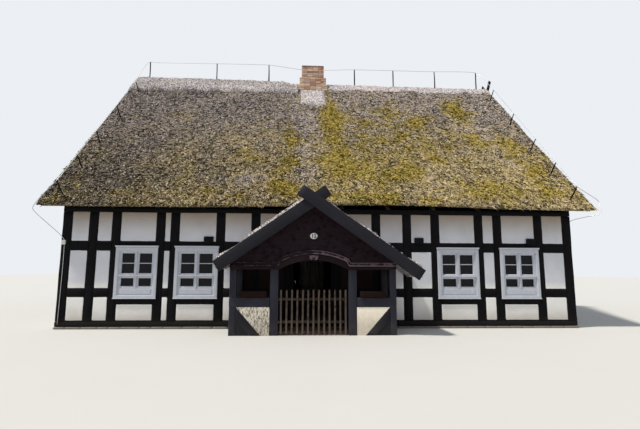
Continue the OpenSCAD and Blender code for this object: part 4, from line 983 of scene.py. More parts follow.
class HOUSE_OT_windows(bpy.types.Operator):
    """Joins each window from swept mouldings: casing, frame, sashes, bars, apron, sill, cornice"""
    bl_idname = "house.windows"
    bl_label = "Windows"

    def execute(self, context):
        lo, hi = boxes("windows")
        right, out, u, o = outward(lo, hi)
        place = placer(right, out)
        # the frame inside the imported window, which has the casing, the sill and the cornice too
        face = o[:, 1] - 0.060
        a, b, z0, z1 = u[:, 0] + 0.080, u[:, 1] - 0.080, lo[:, 2] + 0.065, hi[:, 2] - 0.110
        mid, wide = (a + b) / 2, 0.065
        member, half_post, half_bar, pane_bar = 0.060, .030, .030, .011
        foot = z0 + 0.235
        bar = foot + (z1 - foot - member) * 0.33

        def around(rect, profile):
            """The profile carried round a rectangle with mitred corners."""
            p = np.array(profile)
            inward = np.array([[1, 1], [-1, 1], [-1, -1], [1, -1]])
            corner = np.stack([np.stack([rect[i] for i in row], 1)
                               for row in ((0, 2, 2, 0), (1, 1, 3, 3))], -1)
            uz = corner[:, :, None] + inward[:, None] * p[:, :1]
            return skin(place(uz[..., 0], face[:, None, None] + p[:, 1], uz[..., 1]), closed=True,
                        edge=np.linspace(0, 1, len(p)) > 0.5)

        def across(out_by, z, profile):
            """The profile carried along the wall past both sides of the frame."""
            p = np.array(profile)
            ends = np.stack([a - out_by, b + out_by], 1)[:, :, None]
            return skin(place(ends, face[:, None, None] + p[:, 1], z[:, None, None] + p[:, 0]),
                        edge=1.0)

        def bars(u0, u1, o0, o1, w0, w1, upright=False):
            """Plain members between two distances along the wall, outward and upward."""
            size = np.stack([u1 - u0, o1 - o0 + 0 * u0, w1 - w0], 1)
            up = np.broadcast_to([0, 0, 1.0], right.shape)
            axes, order = (right, up, out), [0, 2, 1]
            if upright:
                axes, order = (up, out, right), [2, 1, 0]
            return timbers(place((u0 + u1) / 2, face + (o0 + o1) / 2, (w0 + w1) / 2),
                           np.stack(axes, 1), size[:, order], 0.004, 0.0, 9, 8)

        shapes = [
            around((a - wide, z0 - wide, b + wide, z1 + wide), CASING),
            around((a, z0, b, z1), FRAME),
            across(.080, z1 + wide, CORNICE),
            across(.072, z0 - .063, SILL),
            bars(mid - half_post, mid + half_post, -.070, -.002, foot - .01, z1 - .05, True),
            bars(mid - .014, mid + .014, -.004, .010, foot + .01, z1 - .06, True),
            bars(a + .050, b - .050, -.070, -.003, bar - half_bar, bar + half_bar),
            bars(a + .040, b - .040, -.004, .040, bar - .010, bar + .022),
            bars(a + .050, b - .050, -.068, -.006, z0 + .030, foot),
            bars(a + .085, b - .085, -.010, .006, z0 + .062, foot - .045),
        ]
        for x0, x1 in ((a + member, mid - half_post), (mid + half_post, b - member)):
            shapes.append(around((x0, foot, x1, bar - half_bar), SASH))
            shapes.append(around((x0, bar + half_bar, x1, z1 - member), SASH))
            half = (bar + half_bar + z1 - member) / 2
            shapes.append(bars(x0 + .03, x1 - .03, -.058, -.022, half - pane_bar, half + pane_bar))
        put("window_joinery", join(shapes), "white_paint", "windows", smooth=False)
        dress("window_glass", "window_glass")
        return {"FINISHED"}


class HOUSE_OT_doorway(bpy.types.Operator):
    """Finishes the door frame and the panelled leaf that stands open inside"""
    bl_idname = "house.doorway"
    bl_label = "Doorway"

    def execute(self, context):
        dress("tarred_timber", "door_frame")
        dress("box_wood", "front_door")
        return {"FINISHED"}


# Roof

def patches(x, s, blobs):
    """The strongest of several soft spots: bells of given middle, half widths and strength."""
    return np.max([k * np.exp(-((x - bx) / rx / 1.2) ** 2 - ((s - bs) / rs / 1.2) ** 2)
                   for bx, bs, rx, rs, k in blobs], 0)


# Soft spots as (along the house, down the slope, half widths, strength)
MOSS = {
    1: [(.45, 3.4, .42, 1.8, 1.0), (.6, 6.0, .6, 1.0, 1.0), (2.7, 3.0, .5, .6, .7),
        (3.6, 3.3, .5, .6, .75), (5.35, 2.5, .5, 1.2, .9), (5.35, 4.7, .5, .8, .7),
        (6.5, 5.0, .45, .9, .7), (6.85, 6.3, .4, .8, .75), (6.7, 7.5, .7, .4, .7),
        (1.55, 6.2, .8, 1.2, .65), (2.4, 6.75, .8, .5, .85), (1.6, 8.0, 2.2, .25, .65),
        (-.97, 4.5, .34, .9, .75), (-1.0, 6.2, .4, .8, .8), (-1.1, 7.6, .8, .5, .8),
        (-2.4, 7.9, .7, .3, .4), (2.2, 4.6, 3.0, 2.6, .52), (4.7, 7.5, 1.2, .7, .5),
        (-1.4, 6.6, 1.6, 1.6, .35), (-5.0, 7.6, 3.0, 1.0, .2)],
    -1: [(-4.5, 4.0, .8, 2.6, .95), (-1.5, 6.6, 1.4, .9, .9), (1.2, 3.0, .5, 1.8, .9),
         (3.9, 5.8, 1.0, 1.4, .95), (5.8, 2.6, .6, 1.2, .8), (0, 7.9, 4.5, .3, .75),
         (0, 5.5, 5.5, 3.0, .3)]}
PALE = {
    1: [(-.55, 3.6, .55, 1.9, .85), (-.45, 5.8, .38, 1.6, .85), (-2.3, 7.15, .5, .3, .9),
        (3.1, 7.1, .4, .35, .8), (1.75, 1.9, .7, .7, .6), (3.9, 1.4, 1.6, .5, .5),
        (5.6, 4.0, .35, 1.0, .75), (6.15, 5.9, .3, .5, .7), (-1.2, 3.0, .6, .5, .4)],
    -1: [(-.19, 3.4, .5, 2.4, .8), (2.6, 7.0, .6, .3, .6), (-3.0, 2.0, .5, .8, .5)]}


def eave_height(x):
    """Height of the cut eave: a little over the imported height, higher by a bell right of the
    middle."""
    return EAVE_Z + 0.05 + 0.13 * np.exp(-((x - 1.8) / 3.2) ** 2)


def slope_end(x):
    """Distance down the slope from the ridge line to the cut eave."""
    return (RIDGE - eave_height(x)) / SIN


def verge_ends(z):
    """Left and right ends of the thatch at a height: both flare by an exponential toward the eave,
    and the right one leans in toward the ridge."""
    flare = np.exp(-np.clip(z - EAVE_Z, 0, None) / 1.3)
    lean = RIDGE_IN * (z - EAVE_Z) / (RIDGE - EAVE_Z)
    return -VERGE - 0.07 * flare, VERGE + 0.11 * flare - lean


def ridge_sag(x):
    """How far the ridge has sunk: nothing on the left, and evenly more toward the right end."""
    return -0.06 * ramp_up(x / VERGE)


def ridge_pale(x):
    """How bleached the ridge caps are: brown beside the chimney's left, palest on the right."""
    return np.where(x > 0, 1.7, np.where(x > -1.3, -0.35, 0.25))


def old_surface(x, s, lumps):
    """A point on the front thatch, lifted off the plain slope by noise and drawn in at the eave. s
    is the distance down the slope from the ridge line."""
    point = xyz(x, -s * COS, RIDGE - s * SIN)
    lift = lumps * (rough(point, 0.9, 21) * 0.7 + rough(point, (0.22, 0.3, 0.3), 31, 2) * 0.5)
    lift = lift - 0.045 * np.exp(-np.clip(slope_end(x) - s, 0, None) / 0.10) - 0.3 * lumps
    return point + lift[..., None] * np.array([0, -SIN, COS])


def tufts(root, normal, way, length, width, lift, seed, spread, **values):
    """Reed ends as slim closed wedges: three points round the foot, sunk a little, and a tip along
    the way, which is turned at random by up to spread and raised by lift."""
    n = len(root)
    rng = np.random.default_rng(seed)
    turn = rng.normal(0, spread, n)[:, None]
    ahead = way * np.cos(turn) + np.cross(way, normal) * np.sin(turn)
    side = np.cross(ahead, normal)
    long = (length * rng.uniform(0.45, 1.6, n))[:, None]
    wide = (width * rng.uniform(0.6, 1.5, n))[:, None]
    foot = root - normal * wide * 0.5
    tip = root + ahead * long + normal * long * (lift * rng.uniform(0.1, 1.6, n))[:, None]
    co = np.stack([foot - side * wide / 2, foot + side * wide / 2, foot + normal * wide * 1.1, tip],
                  1)
    first = np.arange(n)[:, None, None] * 4
    faces = (first + np.array([[0, 1, 2, 2], [0, 2, 3, 3], [2, 1, 3, 3], [1, 0, 3, 3]]))
    flat = np.zeros((n * 4, 4, 2))
    flat[:] = np.repeat(rng.random(n) * 9, 4)[:, None, None]
    flat[:, 2:, 0] += 0.1
    values = {k: np.repeat(np.broadcast_to(v, n), 4) for k, v in values.items()}
    return Shape(co.reshape(-1, 3), faces.reshape(-1, 4), flat,
                 tint=np.repeat(rng.random(n), 4), loose=np.ones(n * 4), **values)


ROWS, COLUMNS = 108, 205  # points down a slope and along it
SOFFIT = 5  # points of the underside that are cut level


def thatch_shell(side, lumps):
    """The old thatch of a slope as a closed surface over two parameters, along the house and down
    the slope: the lumpy top, the cut eave and the plain underside up to the crown."""
    a = np.linspace(0, 1, COLUMNS)[:, None]
    near = a * 2 * VERGE - VERGE
    first = -SLOPE_HI[1] / COS
    last = slope_end(near) + 0.02 * rough(xyz(near, 0, 0), 0.12, 41) \
        + 0.02 * noise(xyz(near, 0, 0), 0.5, 44)
    s = first + (last - first) * np.linspace(0, 1, ROWS)
    left, right = verge_ends(RIDGE - s * SIN)
    ends = 0.022 * np.abs(rough(xyz(0, s, a * 9), (1, 0.12, 1), 47))
    x = left + (right - left) * a - ends * np.sign(a - 0.5) * (np.abs(a - 0.5) > 0.499)
    top = old_surface(x, s, lumps)
    under, cut = UNDER - 0.004, eave_height(near)[:, 0] - 0.01
    soffit = (under - cut) / SLOPE
    rows = np.concatenate([np.linspace(-top[:, -1, 1] - 0.035, soffit, SOFFIT, axis=1),
                           np.linspace(soffit, -SLOPE_HI[1], 16, axis=1)[:, 1:]], 1)
    z = np.where(np.arange(rows.shape[1]) < SOFFIT, cut[:, None], under - rows * SLOPE)
    z[:, :4] += 0.015 * noise(xyz(near, rows[:, :4], 0), 0.09, 51)
    above = ((rows / COS - first) / (last - first) * (ROWS - 1)).astype(int)
    low_x = np.take_along_axis(x, np.clip(above, 0, ROWS - 1), 1)
    rings = np.concatenate([top, xyz(low_x, -rows, z)], 1)
    moss, pale = (np.concatenate([patches(x, s, spots[side]), 0 * rows], 1)[None]
                  for spots in (MOSS, PALE))
    return skin(rings[None], split=ROWS, moss=moss, pale=pale, tint=[0.35])


def thatch_reeds(side, look):
    """Loose reed ends all over a slope, and a row that hangs over the cut eave."""
    gap = look.reed_gap if side == 1 else look.reed_gap * 1.25
    rng = np.random.default_rng(60 + side)
    gx, gs = np.meshgrid(np.arange(-VERGE - 0.06, VERGE + 0.1, gap), np.arange(0.5, 8.7, gap))
    gx, gs = ((grid + rng.uniform(-0.5, 0.5, grid.shape) * gap).ravel() for grid in (gx, gs))
    left, right = verge_ends(RIDGE - gs * SIN)
    keep = (gs < slope_end(gx) - 0.02) & (gx > left + 0.01) & (gx < right - 0.01)
    ex = np.arange(-VERGE - 0.06, VERGE + 0.1, 0.022)
    ex = ex + rng.uniform(-0.01, 0.01, len(ex))
    es = slope_end(ex) - rng.uniform(0.0, 0.09, len(ex))
    gx, gs = np.concatenate([gx[keep], ex]), np.concatenate([gs[keep], es])
    hung = np.arange(len(gx)) >= len(gx) - len(ex)
    ends = tufts(old_surface(gx, gs, look.lumps), np.array([0, -SIN, COS]),
                 np.array([0, -COS, -SIN]), np.where(hung, 0.05, look.reed_length), 0.022,
                 np.where(hung, 0.05, 0.25), 70 + side, 0.85,
                 moss=patches(gx, gs, MOSS[side]), pale=patches(gx, gs, PALE[side]))
    left, right = verge_ends(ends.co[:, 2])
    ends.co[:, 0] = np.clip(ends.co[:, 0], left + 0.002, right - 0.002)
    ends.co[:, 1] = np.maximum(ends.co[:, 1], -EAVE_Y)
    return ends


class HOUSE_OT_thatch(bpy.types.Operator):
    """Thatches the two slopes, each a lumpy closed shell with tufts of loose reed, and the crown"""
    bl_idname = "house.thatch"
    bl_label = "Old thatch"

    def execute(self, context):
        look = context.scene.house_look
        for side, node in ((1, "thatch_front"), (-1, "thatch_back")):
            shell, ends = thatch_shell(side, look.lumps), thatch_reeds(side, look)
            if side == -1:
                shell, ends = shell.flipped(1), ends.flipped(1)
            put(node + "_shell", shell, "thatch", node)
            put(node + "_reeds", ends, "thatch", node, smooth=False)
        crown = []
        for x0, x1 in ((-VERGE, SHAFT_X[0]), (SHAFT_X[1], VERGE - RIDGE_IN)):
            x, y = np.linspace(x0, x1, 30)[:, None], np.linspace(-SLOPE_HI[1], SLOPE_HI[1], 9)
            top = RIDGE - np.sqrt(y ** 2 + 0.11 ** 2) * SLOPE + ridge_sag(x)
            rings = np.concatenate([xyz(x, y, top), xyz(x, -y, UNDER - np.abs(y) * SLOPE)], 1)
            crown.append(skin(rings[None], split=len(y), tint=[0.4]))
        put("thatch_crown_shell", join(crown), "thatch", "thatch_crown")
        return {"FINISHED"}


def saddle(low, high):
    """A ridge cap: a rounded roof over the ridge line with a ragged lower edge. The left one is
    the thicker, rounded at its end and sunk toward the chimney."""
    left = low[0] < -1
    run, thick, crown, ragged = (0.72, 0.14, 0.065, 1) if left else (0.42, 0.06, 0.09, 2)
    x = np.linspace(low[0] + 0.003, high[0] - 0.003, int((high[0] - low[0]) / 0.06))[:, None]
    w = np.linspace(-1, 1, 45)
    side = xyz(x, np.sign(w) * 5, 0)
    reach = run * (1 + 0.10 * ragged * rough(side, 0.45, 81)
                   + 0.06 * ragged * noise(side, 0.07, 85))
    y = -w * reach
    full = thick / COS * (1 - 0.35 * ramp_up((np.abs(w) - 0.85) / 0.15) ** 2)
    z = RIDGE - np.sqrt(y ** 2 + crown ** 2) * SLOPE + full
    point = xyz(x, y, z)
    lift = rough(point, (0.5, 0.25, 0.25), 91) * 0.014 + rough(point, 0.09, 95, 2) * 0.008
    z = z + lift - 0.01 + ridge_sag(x) * (1 - np.abs(w))
    if left:
        z = z - 0.13 * ramp_up(1 - (x - low[0]) / 0.22) ** 2
        last = ramp_up((x + 1.45) / 0.4)
        sunk = 0.05 * ramp_up((x + 4.5) / 2.5) + 0.10 * last * last * (3 - 2 * last)
        z = z - sunk * (1 - 0.6 * np.abs(w))
    y_low = np.linspace(-reach[:, -1], reach[:, 0], 13, axis=1)
    z_low = RIDGE - np.sqrt(y_low ** 2 + 0.02 ** 2) * SLOPE - 0.045
    x_top, x_low = x, x
    if not left:
        x_top, x_low = (np.minimum(x, verge_ends(h)[1] + 0.01) for h in (z, z_low))
    rings = np.concatenate([xyz(x_top, y, z), xyz(x_low, y_low, z_low)], 1)
    return skin(rings[None], split=len(w), tint=[0.6], pale=ridge_pale(x)[None])


def apron(low, high):
    """The reed below the chimney: a slab that bulges off the slope, its outline running from the
    chimney down to the cut foot and back underneath. Both ends are darkened as painted shadow: under
    the collar's overhang and along the cut foot."""
    x, t = np.linspace(low[0], high[0], 18)[:, None], np.linspace(0, 1, 24)
    off = np.abs(2 * (x - x.mean()) / np.ptp(x))
    end = -low[1] - 0.03 + 0.05 * rough(xyz(x, 3, 0), 0.2, 101) - 0.10 * off ** 5
    y = -high[1] + (end + high[1]) * t
    bulge = 0.070 * np.sqrt(ramp_up(1 - off ** 4)) * np.clip((1.02 - t) * 9, 0.25, 1) \
        * ramp_up(t * 9 - 0.4) + 0.01
    z = RIDGE - y * SLOPE + bulge / COS + 0.008 * rough(xyz(x, y, 0), 0.12, 105)
    outline = np.concatenate([xyz(x, -y, z), xyz(x, -y, RIDGE - y * SLOPE - 0.05)[:, ::-1]], 1)
    outline[..., 0] = x.mean() + (outline[..., 0] - x.mean()) * 0.9
    out = np.clip(y - SHAFT_HI[1], 0, None)
    # painted shadow: the pale value falls far below 0 just under the collar, which overhangs the
    # slab, and on the last rows of the cut foot
    joint = 0.15 - 3.6 * np.exp(-(out / 0.11) ** 2) - 2.4 * (t > 0.96)
    return skin(outline[None], split=len(t), tint=[0.8],
                pale=np.concatenate([joint, joint[:, ::-1]], 1)[None])


class HOUSE_OT_ridge(bpy.types.Operator):
    """Lays the rounded saddles of newer reed on the ridge and the apron below the chimney"""
    bl_idname = "house.ridge"
    bl_label = "Ridge caps"

    def execute(self, context):
        pairs = list(zip(*boxes("ridge_caps")))
        caps = join([saddle(low, high) for low, high in pairs if abs(low[1] + high[1]) <= 0.2])
        aprons = [apron(low, high) for low, high in pairs if low[1] + high[1] < -0.2]
        aprons.append(aprons[0].flipped(1))
        put("ridge_saddles", join([caps] + aprons), "new_thatch", "ridge_caps")
        rng = np.random.default_rng(111)
        tops = []
        for shape in [caps] + aprons:
            co, f = shape.co, shape.faces
            mid = co[f].mean(1)
            normal = np.cross(co[f[:, 2]] - co[f[:, 0]], co[f[:, 3]] - co[f[:, 1]])
            area = np.linalg.norm(normal, axis=1)
            normal = normal / np.maximum(area, 1e-9)[:, None]
            pick = (normal[:, 2] > 0.3) & (area > 1e-5)
            pick &= (rng.random(len(f)) < 0.75) & ((shape is caps) | (mid[:, 2] < RIDGE - 0.48))
            root, up = mid[pick], normal[pick]
            root = root + rng.uniform(-0.02, 0.02, root.shape) * [1, 0.4, 0]
            aside = rng.normal(0, 0.2, len(root))
            either = rng.choice([-1, 1], len(root))
            way = xyz(aside, np.where(np.abs(root[:, 1]) < 0.05, either, np.sign(root[:, 1])), 0)
            way = way - (way * up).sum(1)[:, None] * up
            way = way / np.linalg.norm(way, axis=1)[:, None]
            # the apron's reed ends near its foot are darkened as painted shadow, like the slab's
            # foot
            pale = ridge_pale(root[:, 0]) + 0.15 if shape is caps \
                else -2.0 * (root[:, 2] < co[:, 2].min() + 0.13)
            tops.append(tufts(root, up, way, 0.09, 0.012, 0.16, 115, 0.6, pale=pale))
        put("ridge_reeds", join(tops), "new_thatch", "ridge_caps", smooth=False)
        return {"FINISHED"}


class HOUSE_OT_roof_timbers(bpy.types.Operator):
    """Finishes the rafters, the ceiling beams and the ceiling boards"""
    bl_idname = "house.roof_timbers"
    bl_label = "Roof timbers"

    def execute(self, context):
        dress("tarred_timber", "tie_beams")
        dress("inner_wood", "rafters_front", "rafters_back", "ceiling_boards", "porch_rafters")
        return {"FINISHED"}


class HOUSE_OT_gables(bpy.types.Operator):
    """Boards the gables upright with cover strips, and hangs the barge boards along the verges"""
    bl_idname = "house.gables"
    bl_label = "Gables"

    def execute(self, context):
        lo, hi = corners("gable_boards")
        foot, half, pitch = lo[2], hi[1], 0.20
        shapes = []
        # boards edge to edge, and cover strips over their joints
        for wide, o0, o1, strip in ((.194, 0.0, .024, False), (.055, .022, .042, True)):
            at = np.arange(-half + pitch / 2, half, pitch)
            if strip:
                at = at[:-1] + pitch / 2
            at = at[np.abs(at) < half - wide / 2 - 0.02]
            y, o, edge = section(8, wide / 2, (o1 - o0) / 2, 0.004)
            y, o = at[:, None, None] + y, (o0 + o1) / 2 + o
            top = foot + (half - np.abs(y)) * SLOPE - 0.012
            z = foot + 0.002 + (top - foot) * np.linspace(0, 1, 9)[:, None]
            rings = xyz(HOUSE_HI[0] + o + 0.003 * noise(xyz(0, y, z), 0.4, 121), y, z)
            # along Z the outline (X, Y) runs anticlockwise
            shapes.append(skin(rings[:, :, ::-1], edge=edge,
                               tint=np.random.default_rng(123).random(len(at))))
        side = join(shapes)
        put("gable_boarding", join([side, side.flipped(0)]), "brown_boards", "gable_boards",
            smooth=False)
        wide, thick, drop, short = 0.20, 0.04, 0.06, 0.02
        lean = np.array(Matrix.Rotation(-math.atan(RIDGE_IN / (RIDGE - EAVE_Z)), 3, "Y"))
        run, corner = (EAVE_Y - short) / COS, np.array([VERGE, 0, EAVE_Z])
        centre, axes, size = [], [], []
        for end, horn in ((-1, 0.0), (1, 0.4)):
            for layer, face in ((0, -1), (1, 1)):
                line, out = np.array([0, -face * COS, SIN]), np.array([1.0, 0, 0])
                down = np.array([0, -face * SIN, -COS])
                mid = np.array([end * (VERGE + thick * (layer + 0.5)), 0, RIDGE - drop]) \
                    + line * (horn - run) / 2 + down * wide / 2
                if end == 1:
                    mid = corner + lean @ (mid - corner)
                    line, down, out = lean @ line, lean @ down, lean @ out
                down = down if np.cross(down, out) @ line > 0 else -down
                centre.append(mid)
                axes.append([line, down, out])
                size.append([run + horn, wide, thick])
        boards = timbers(centre, np.array(axes), size, 0.007, 0.005, 0.25, seed=130)
        # the foot is cut level with the eave: points below it slide back up along the board
        back = np.clip(EAVE_Z + 0.03 - boards.co[:, 2], 0, None) / SLOPE
        boards.co += xyz(0, -np.sign(boards.co[:, 1]) * back, back * SLOPE)
        put("verge_boards", boards, "tarred_timber", "gable_barge_boards")
        return {"FINISHED"}


BRICK_LONG, BRICK_DEEP = 0.245, 0.115  # a brick and its joint along the course, and a brick's depth


class HOUSE_OT_chimney(bpy.types.Operator):
    """Lays the chimney brick by brick over a mortar core: seven courses and a stepped collar"""
    bl_idname = "house.chimney"
    bl_label = "Chimney"

    def execute(self, context):
        parts, top = solids("chimney")[0], SHAFT_HI[2]
        shaft = parts[np.abs(parts[:, 2] - top) < 1e-3]
        lo, hi = shaft[:, :2].min(0), shaft[:, :2].max(0)
        # heights of the collar's foot, the step between its two parts, and its top
        foot, step, neck = np.unique(np.round(parts[:, 2], 3))[-4:-1]
        rng = np.random.default_rng(141)
        low, high = [], []

        def courses(out, z0, z1, n):
            """Boxes of bricks round the shaft grown by out: long sides run through on every other
            course, and the joints of each course stand over the middles of the one below."""
            a, b, rise = lo - out, hi + out, (z1 - z0) / n
            for i, axis in np.ndindex(n, 2):
                o, through = 1 - axis, (i + axis) % 2 == 0
                short = 0 if through else BRICK_DEEP
                s0, s1 = a[axis] + short, b[axis] - short
                count = max(1, int(round((s1 - s0) / BRICK_LONG)))
                cuts = np.linspace(s0, s1, count + 1)
                if not through and count > 1:
                    cuts = np.concatenate([[s0], (cuts[:-1] + cuts[1:]) / 2, [s1]])
                for side in (0, 1):
                    p, q = np.empty((2, len(cuts) - 1, 3))
                    p[:, axis], q[:, axis] = cuts[:-1] + 0.005, cuts[1:] - 0.005
                    p[:, o] = b[o] - BRICK_DEEP if side else a[o]
                    q[:, o] = p[:, o] + BRICK_DEEP
                    slip = rng.uniform(0, 0.004, len(p))
                    if side:
                        q[:, o] -= slip
                    else:
                        p[:, o] += slip
                    p[:, 2], q[:, 2] = z0 + i * rise + 0.006, z0 + (i + 1) * rise - 0.006
                    low.append(p)
                    high.append(q)

        courses(0.0, neck, top, 7)
        courses(UPPER_COLLAR_OUT, step, neck, 4)
        courses(COLLAR_OUT, foot, step, 3)
        bricks = box_timbers(np.concatenate(low), np.concatenate(high), 7, cut=0.006, wave=0.001,
                             step=9, points=8)
        put("chimney_bricks", bricks, "chimney_brick", "chimney", smooth=False)

        def shell(*levels):
            """A shaft of rectangles (grown by, height), carried up and, where it turns in, down."""
            rings = []
            for grow, z in levels:
                a, b = lo - grow, hi + grow
                rings.append([[b[0], a[1], z], [b[0], b[1], z], [a[0], b[1], z], [a[0], a[1], z]])
            return skin(np.array(rings)[None])

        joint = 0.011  # how far the mortar stands back behind the bricks
        outer, inner = COLLAR_OUT - joint, UPPER_COLLAR_OUT - joint
        core = shell((-joint, neck - 0.4), (-joint, top - 0.012), (-0.10, top),
                     (-0.125, top - 0.02), (-0.125, top - 1.5))
        collar = shell((outer, foot + 0.002), (outer, step - 0.002), (inner, step + 0.006),
                       (inner, neck - 0.004), (-0.02, neck + 0.008))
        put("chimney_mortar", join([core, collar]), "mortar", "chimney",
            smooth=False)
        inside = shell((0.0, SHAFT_LO[2]), (0.0, foot + 0.01))
        put("chimney_inner_shaft", inside, "old_limewash", "chimney", smooth=False)
        return {"FINISHED"}


def cord(points, radius, steps=9):
    """A round cord through points: cubic curves whose slope at a point follows its neighbours, and
    rings square to the curve, turned no more than needed."""
    hop = np.diff(points, axis=0)
    long = np.linalg.norm(hop, axis=1)
    way = np.concatenate([hop[:1], points[2:] - points[:-2], hop[-1:]])
    way /= np.linalg.norm(way, axis=1)[:, None]
    reach = np.minimum(np.append(long, long[-1]), np.insert(long, 0, long[0]))[:, None] * 0.4
    slope = way * reach
    t = np.linspace(0, 1, steps)[:-1, None, None]
    path = (2 * t**3 - 3 * t**2 + 1) * points[:-1] + (t**3 - 2 * t**2 + t) * slope[:-1] \
        + (3 * t**2 - 2 * t**3) * points[1:] + (t**3 - t**2) * slope[1:]
    path = np.concatenate([path.transpose(1, 0, 2).reshape(-1, 3), points[-1:]])
    path = np.clip(path, np.add(CAD_BOX[0], radius), np.subtract(CAD_BOX[1], radius))
    ahead = np.gradient(path, axis=0)
    ahead /= np.linalg.norm(ahead, axis=1)[:, None]
    side, sides = np.array([1.0, 0, 0]), []
    for a in ahead:
        side = side - (side @ a) * a
        side /= np.linalg.norm(side)
        sides.append(side)
    sides = np.array(sides)[:, None]
    k = (np.arange(8) * math.tau / 8)[:, None]
    square = np.cross(ahead[:, None], sides)
    rings = path[:, None] + radius * (np.cos(k) * sides + np.sin(k) * square)
    return skin(rings[None], edge=0.0)


class HOUSE_OT_conductor(bpy.types.Operator):
    """Cuts the crooked stakes of the lightning conductor and draws its wire over their tips"""
    bl_idname = "house.conductor"
    bl_label = "Conductor"

    def execute(self, context):
        centre, axes, size = spans("conductor_stakes")
        t, k = np.linspace(0, 1, 9)[None, :, None], np.arange(8) * math.tau / 8
        bow = np.random.default_rng(151).normal(0, 0.010, (len(centre), 2, 1, 1))
        bow = bow * np.sin(np.pi * t)[:, None]
        knots = 1 + 0.12 * np.sin(k * 2 + centre[:, :1, None] * 9 + t * 4)
        radius = size[:, 1, None, None] / 2 * (1.25 - 0.3 * t) * knots
        u, v = bow[:, 0] + radius * np.cos(k) * 0.95, bow[:, 1] + radius * np.sin(k) * 0.95
        along = (t - 0.5) * size[:, 0, None, None]
        rings = centre[:, None, None] + sum(
            w[..., None] * axes[:, None, None, i]
            for i, w in enumerate(np.broadcast_arrays(along, u, v)))
        put("conductor_poles", skin(rings, edge=0.0), "stake_wood", "conductor_stakes")
        tips = centre + axes[:, 0] * size[:, :1] / 2
        verge = np.abs(tips[:, 1]) > 0.5
        left, right = (tips[verge & (tips[:, 0] * side > 0)] for side in (-1, 1))
        left, right = left[left[:, 1].argsort()], right[right[:, 1].argsort()][::-1]
        ridge = tips[~verge][tips[~verge][:, 0].argsort()]
        before, after = ridge[ridge[:, 0] < SHAFT_X[0]], ridge[ridge[:, 0] > SHAFT_X[1]]
        behind, level = SHAFT_HI[1] - COLLAR_OUT + 0.03, CAD_BOX[1][2] - 0.02
        clamp, wall = corners("conductor_box")[1] - [0.045, 0, 0], -HOUSE_HI[1] - 0.010
        foot, drop, out = HOUSE_LO[2] + 0.06, EAVE_Z - 0.10, -EAVE_Y - 0.03
        post = (HOUSE_HI[0] + 0.03, -HOUSE_HI[1] + TIMBER / 2)
        bends = [(clamp[0], wall, foot), (clamp[0], wall, clamp[2]), (-VERGE - 0.07, out, drop),
                 *left, *before, (SHAFT_X[0] - 0.03, behind, level),
                 (SHAFT_X[1] + 0.03, behind, level), *after, *right,
                 (VERGE + 0.24, -EAVE_Y + 0.20, EAVE_Z + 0.32), (VERGE + 0.12, out, drop),
                 (*post, drop - 0.18), (*post, foot)]
        put("conductor_cord", cord(np.array(bends) + [0, 0, 0.006], 0.008), "wire_metal",
            "conductor_wire")
        dress("white_enamel", "conductor_box")
        return {"FINISHED"}


# Porch

class HOUSE_OT_porch_frame(bpy.types.Operator):
    """Hews the porch's posts, plates, rails and braces"""
    bl_idname = "house.porch_frame"
    bl_label = "Porch frame"

    def execute(self, context):
        for kind in ("post", "plate", "rail"):
            hewn = box_timbers(*boxes(f"porch_{kind}s"), cut=0.012, wave=0.005, step=0.18)
            put(f"porch_{kind}_timbers", hewn, "blue_grey_wood", f"porch_{kind}s")
        shapes = []
        for p in solids("porch_braces"):
            y0, y1 = p[:, 1].min(), p[:, 1].max()
            q = p[np.abs(p[:, 1] - y0) < 1e-4][:, [0, 2]]
            foot, head = q[q[:, 1] < 0.01], q[q[:, 1] > 0.01]
            foot, head = foot[foot[:, 0].argsort()], head[head[:, 1].argsort()]
            # on the left side of the porch the head's upper corner is over the foot's right one
            if head[0, 0] > foot[0, 0]:
                head = head[::-1]
            wide = np.ptp(foot[:, 0]) / 2
            across, deep, edge = section(16, wide, (y1 - y0) / 2, 0.012)
            share = (across[:, None] / wide + 1) / 2
            low, top = (end[0] + (end[1] - end[0]) * share for end in (foot, head))
            xz = low + (top - low) * np.linspace(0, 1, 9)[:, None, None]
            rings = xyz(xz[..., 0], (y0 + y1) / 2 + deep, xz[..., 1])
            rings += 0.004 * noise(rings, 0.25, 161)[..., None] * [0, 1, 0]
            shapes.append(skin(rings[None], edge=edge))
        put("porch_brace_timbers", join(shapes), "slate_grey_wood", "porch_braces")
        dress("porch_plaster", "porch_panels")
        return {"FINISHED"}


LINTEL_HALF = (LINTEL_HI[0] - LINTEL_LO[0]) / 2
ARCH_Z = PORCH_HEAD + ARCH_RISE - ARCH_R  # height of the arch's centre


def mirrored(x, z):
    """A lintel edge from its right end to the middle, followed by its mirror image."""
    return np.concatenate([x, -x[-2::-1]]), np.concatenate([z, z[-2::-1]])


def lintel_line(d):
    """The lintel's top edge lowered by d, from the right end to the left: straight, then an S-curve
    (half a cosine wave) up to the arch of radius R + ring - d, and mirrored."""
    half, shoulder = ARCH_HALF - d * 0.6, 0.08
    r, low = ARCH_R + ARCH_RING - d, PORCH_HEAD + LINTEL_H - d
    end = ARCH_Z + math.sqrt(r * r - half * half)
    t, arch = np.linspace(0, 1, 9)[1:], np.linspace(half, 0, 20)[1:]
    x = [np.linspace(LINTEL_HALF, half + shoulder, 12), half + shoulder - shoulder * t, arch]
    z = [np.full(12, low), low + (end - low) * (1 - np.cos(np.pi * t)) / 2,
         ARCH_Z + np.sqrt(r * r - arch ** 2)]
    return mirrored(np.concatenate(x), np.concatenate(z))


def lintel_foot():
    """The lintel's lower edge with as many points: straight, then the arch of the opening."""
    x = np.concatenate([np.linspace(LINTEL_HALF, ARCH_HALF, 20), np.linspace(ARCH_HALF, 0, 20)[1:]])
    arch = ARCH_Z + np.sqrt(ARCH_R ** 2 - np.minimum(x, ARCH_HALF) ** 2)
    return mirrored(x, np.where(x < ARCH_HALF, arch, PORCH_HEAD))


